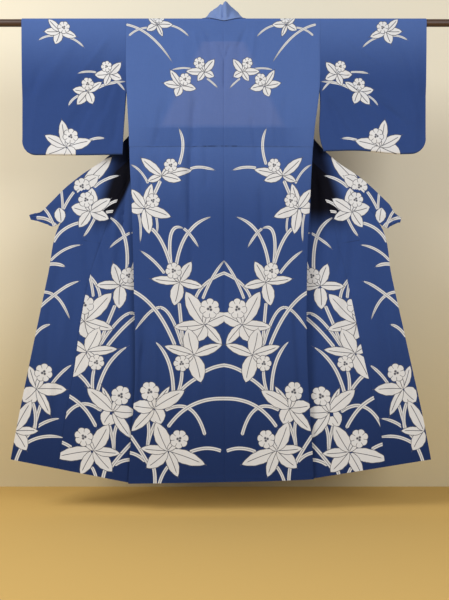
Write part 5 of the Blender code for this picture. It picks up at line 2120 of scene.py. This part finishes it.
@dataclass
class Studio:
    """A pale wall and floor, window light from the left, a broad fill from the right, soft air and the camera."""

    wall_y: float = 0.42
    wall_top: float = 2.5
    floor_z: float = -1.605
    floor_front: float = -5.0
    half_width: float = 4.0
    wall_high: Colour = (0.80, 0.75, 0.60, 1.0)
    wall_low: Colour = (0.69, 0.60, 0.38, 1.0)
    floor_tint: Colour = (0.66, 0.44, 0.15, 1.0)
    window: Lamp = Lamp("window", (-2.1, -2.0, 0.9), (62, 0, -47), 1.3, 68.0, (1.0, 0.98, 0.95))
    fill: Lamp = Lamp("fill", (1.6, -3.0, 0.2), (80, 0, 28), 1.8, 52.0, (0.96, 0.97, 1.0))
    air: Colour = (0.92, 0.93, 1.0, 1.0)
    air_strength: float = 0.36
    lens: float = 45.8
    lens_shift: float = 0.0473
    camera_at: Place = (0.0016, -2.5, -1.0)

    @staticmethod
    def _plain(name: str, top: Colour, low: Colour, span: tuple[float, float]) -> bpy.types.Material:
        """A matt finish between two colours by height, see-through from behind.

        Args:
            name: The material's name.
            top: The upper colour.
            low: The lower colour.
            span: The heights where the change starts and ends.

        Returns:
            The material.
        """
        graph = Graph(name)
        _, _, z = graph.place()
        colour = graph.mix(z.fading(*span), low, top)
        matt = graph.node("ShaderNodeBsdfDiffuse", {}, {0: colour})
        clear = graph.node("ShaderNodeBsdfTransparent", {}, {})
        seen = graph.node("ShaderNodeNewGeometry", {}, {})
        inputs = {0: Socket(graph, seen.outputs["Backfacing"])}
        inputs.update({1: Socket(graph, matt.outputs[0]), 2: Socket(graph, clear.outputs[0])})
        mixed = graph.node("ShaderNodeMixShader", {}, inputs)
        graph.node("ShaderNodeOutputMaterial", {}, {0: Socket(graph, mixed.outputs[0])})
        return graph.material

    @staticmethod
    def _sheet(name: str, corners: Sequence[Place], material: bpy.types.Material) -> bpy.types.Object:
        """One flat piece of the room.

        Args:
            name: The piece's name.
            corners: Its four corners.
            material: Its finish.

        Returns:
            The piece.
        """
        mesh = bpy.data.meshes.new(name)
        mesh.from_pydata([list(c) for c in corners], [], [(0, 1, 2, 3)])
        mesh.materials.append(material)
        return put(name, mesh)

    def _camera(self) -> None:
        """Places the camera square on to the robe's back, with the lens shifted to keep uprights upright."""
        camera = bpy.data.cameras.new("camera")
        camera.lens = self.lens
        camera.shift_y = self.lens_shift
        placed = put("camera", camera)
        placed.location = self.camera_at
        placed.rotation_euler = (math.pi / 2, 0.0, 0.0)
        bpy.context.scene.camera = placed

    def build(self) -> None:
        """Puts up the room, the lights and the camera."""
        wide, front, y, z, top = self.half_width, self.floor_front, self.wall_y, self.floor_z, self.wall_top
        wall = self._plain("wall", self.wall_high, self.wall_low, (-1.5, -0.4))
        floor = self._plain("floor", self.floor_tint, self.floor_tint, (-2.0, 0.0))
        back = self._sheet("wall", ((-wide, y, z), (wide, y, z), (wide, y, top), (-wide, y, top)), wall)
        base = self._sheet("floor", ((-wide, front, z), (wide, front, z), (wide, y, z), (-wide, y, z)), floor)
        self.window.build()
        self.fill.build()
        world = bpy.data.worlds.new("room")
        world.use_nodes = True
        world.node_tree.nodes["Background"].inputs[0].default_value = self.air
        world.node_tree.nodes["Background"].inputs[1].default_value = self.air_strength
        bpy.context.scene.world = world
        bpy.context.scene.view_settings.view_transform = "Standard"
        self._camera()


def robe() -> list[ClothPiece]:
    """The robe's pieces in the order of sewing.

    Returns:
        The pieces, each ready to be built.
    """
    strip = Chart(STRIP_FLOWERS, STRIP_LEAVES)
    arm = Chart(SLEEVE_FLOWERS, SLEEVE_LEAVES)
    edge = Chart(EDGE_FLOWERS, EDGE_LEAVES)
    # Stitching lines of the tucks: left end (x, z), right end (x, z), strength.
    tucks = (
        (-0.2590, BACK_TUCK, 0.2490, BACK_TUCK, 0.5),
        (-0.1110, BACK_TUCK, 0.0460, BACK_TUCK, 1.3),
        (-0.4694, -0.7085, -0.4080, -0.7196, 0.8),
        (0.3865, -0.7196, 0.4487, -0.7085, 0.8),
    )
    # The back carries the painted light that shows through below the neck.
    back = PrintedCotton("cotton back", has_patch=True, tucks=tucks[:2], seed=0.7)
    # The fronts, the overlaps and the collar carry the painted shadow of the hollow beside the back's edge.
    front = PrintedCotton("cotton front", tucks=tucks[2:], hollow=1.0, seed=1.9)
    overlap = PrintedCotton("cotton overlap", tucks=tucks[2:], hollow=1.0, seed=2.6)
    # The sleeves and the collar have their own steps of painted light and shade; the collar's lit blue is brighter.
    sleeve = PrintedCotton("cotton sleeve", change=(-0.03, 0.22, 0.85, 1.50), seed=3.3)
    collar = PrintedCotton(
        "cotton collar",
        upper=(0.160, 0.240, 0.480, 1.0),
        change=(-0.02, 0.30, 0.60, 1.2),
        hollow=0.9,
        seed=4.4,
    )
    pieces: list[ClothPiece] = []
    squeezes = ((Side.LEFT, 1.0, 1.0, 1.0), (Side.RIGHT, 0.94, 0.955, 0.99))
    for side, back_print, edge_print, arm_print in squeezes:
        word = side.word
        pieces += [
            BackPanel(f"back_{word}", strip, back, (0.30, 1.52), ("rod",), side=side, squeeze=back_print),
            FrontPanel(f"front_{word}", strip, front, (0.24, 1.53), ("rod",), side=side),
            OverlapPanel(
                f"overlap_{word}",
                edge,
                overlap,
                (0.157, 1.265),
                (f"front_{word}",),
                area=0.155,
                side=side,
                squeeze=edge_print,
            ),
            Sleeve(
                f"sleeve_{word}",
                arm,
                sleeve,
                (0.345, 0.90),
                ("rod",),
                closed=True,
                side=side,
                squeeze=arm_print,
            ),
        ]
    pieces.append(Collar("collar", edge, collar, (0.056, 1.86), ("rod",), wall=COLLAR_WALL))
    return pieces


def main() -> None:
    """Builds the rod, the robe and the room in order."""
    Rod(DarkWood()).build()
    for piece in robe():
        piece.build()
    Studio().build()


if __name__ == "__main__":
    logging.basicConfig(level=logging.INFO)
    main()
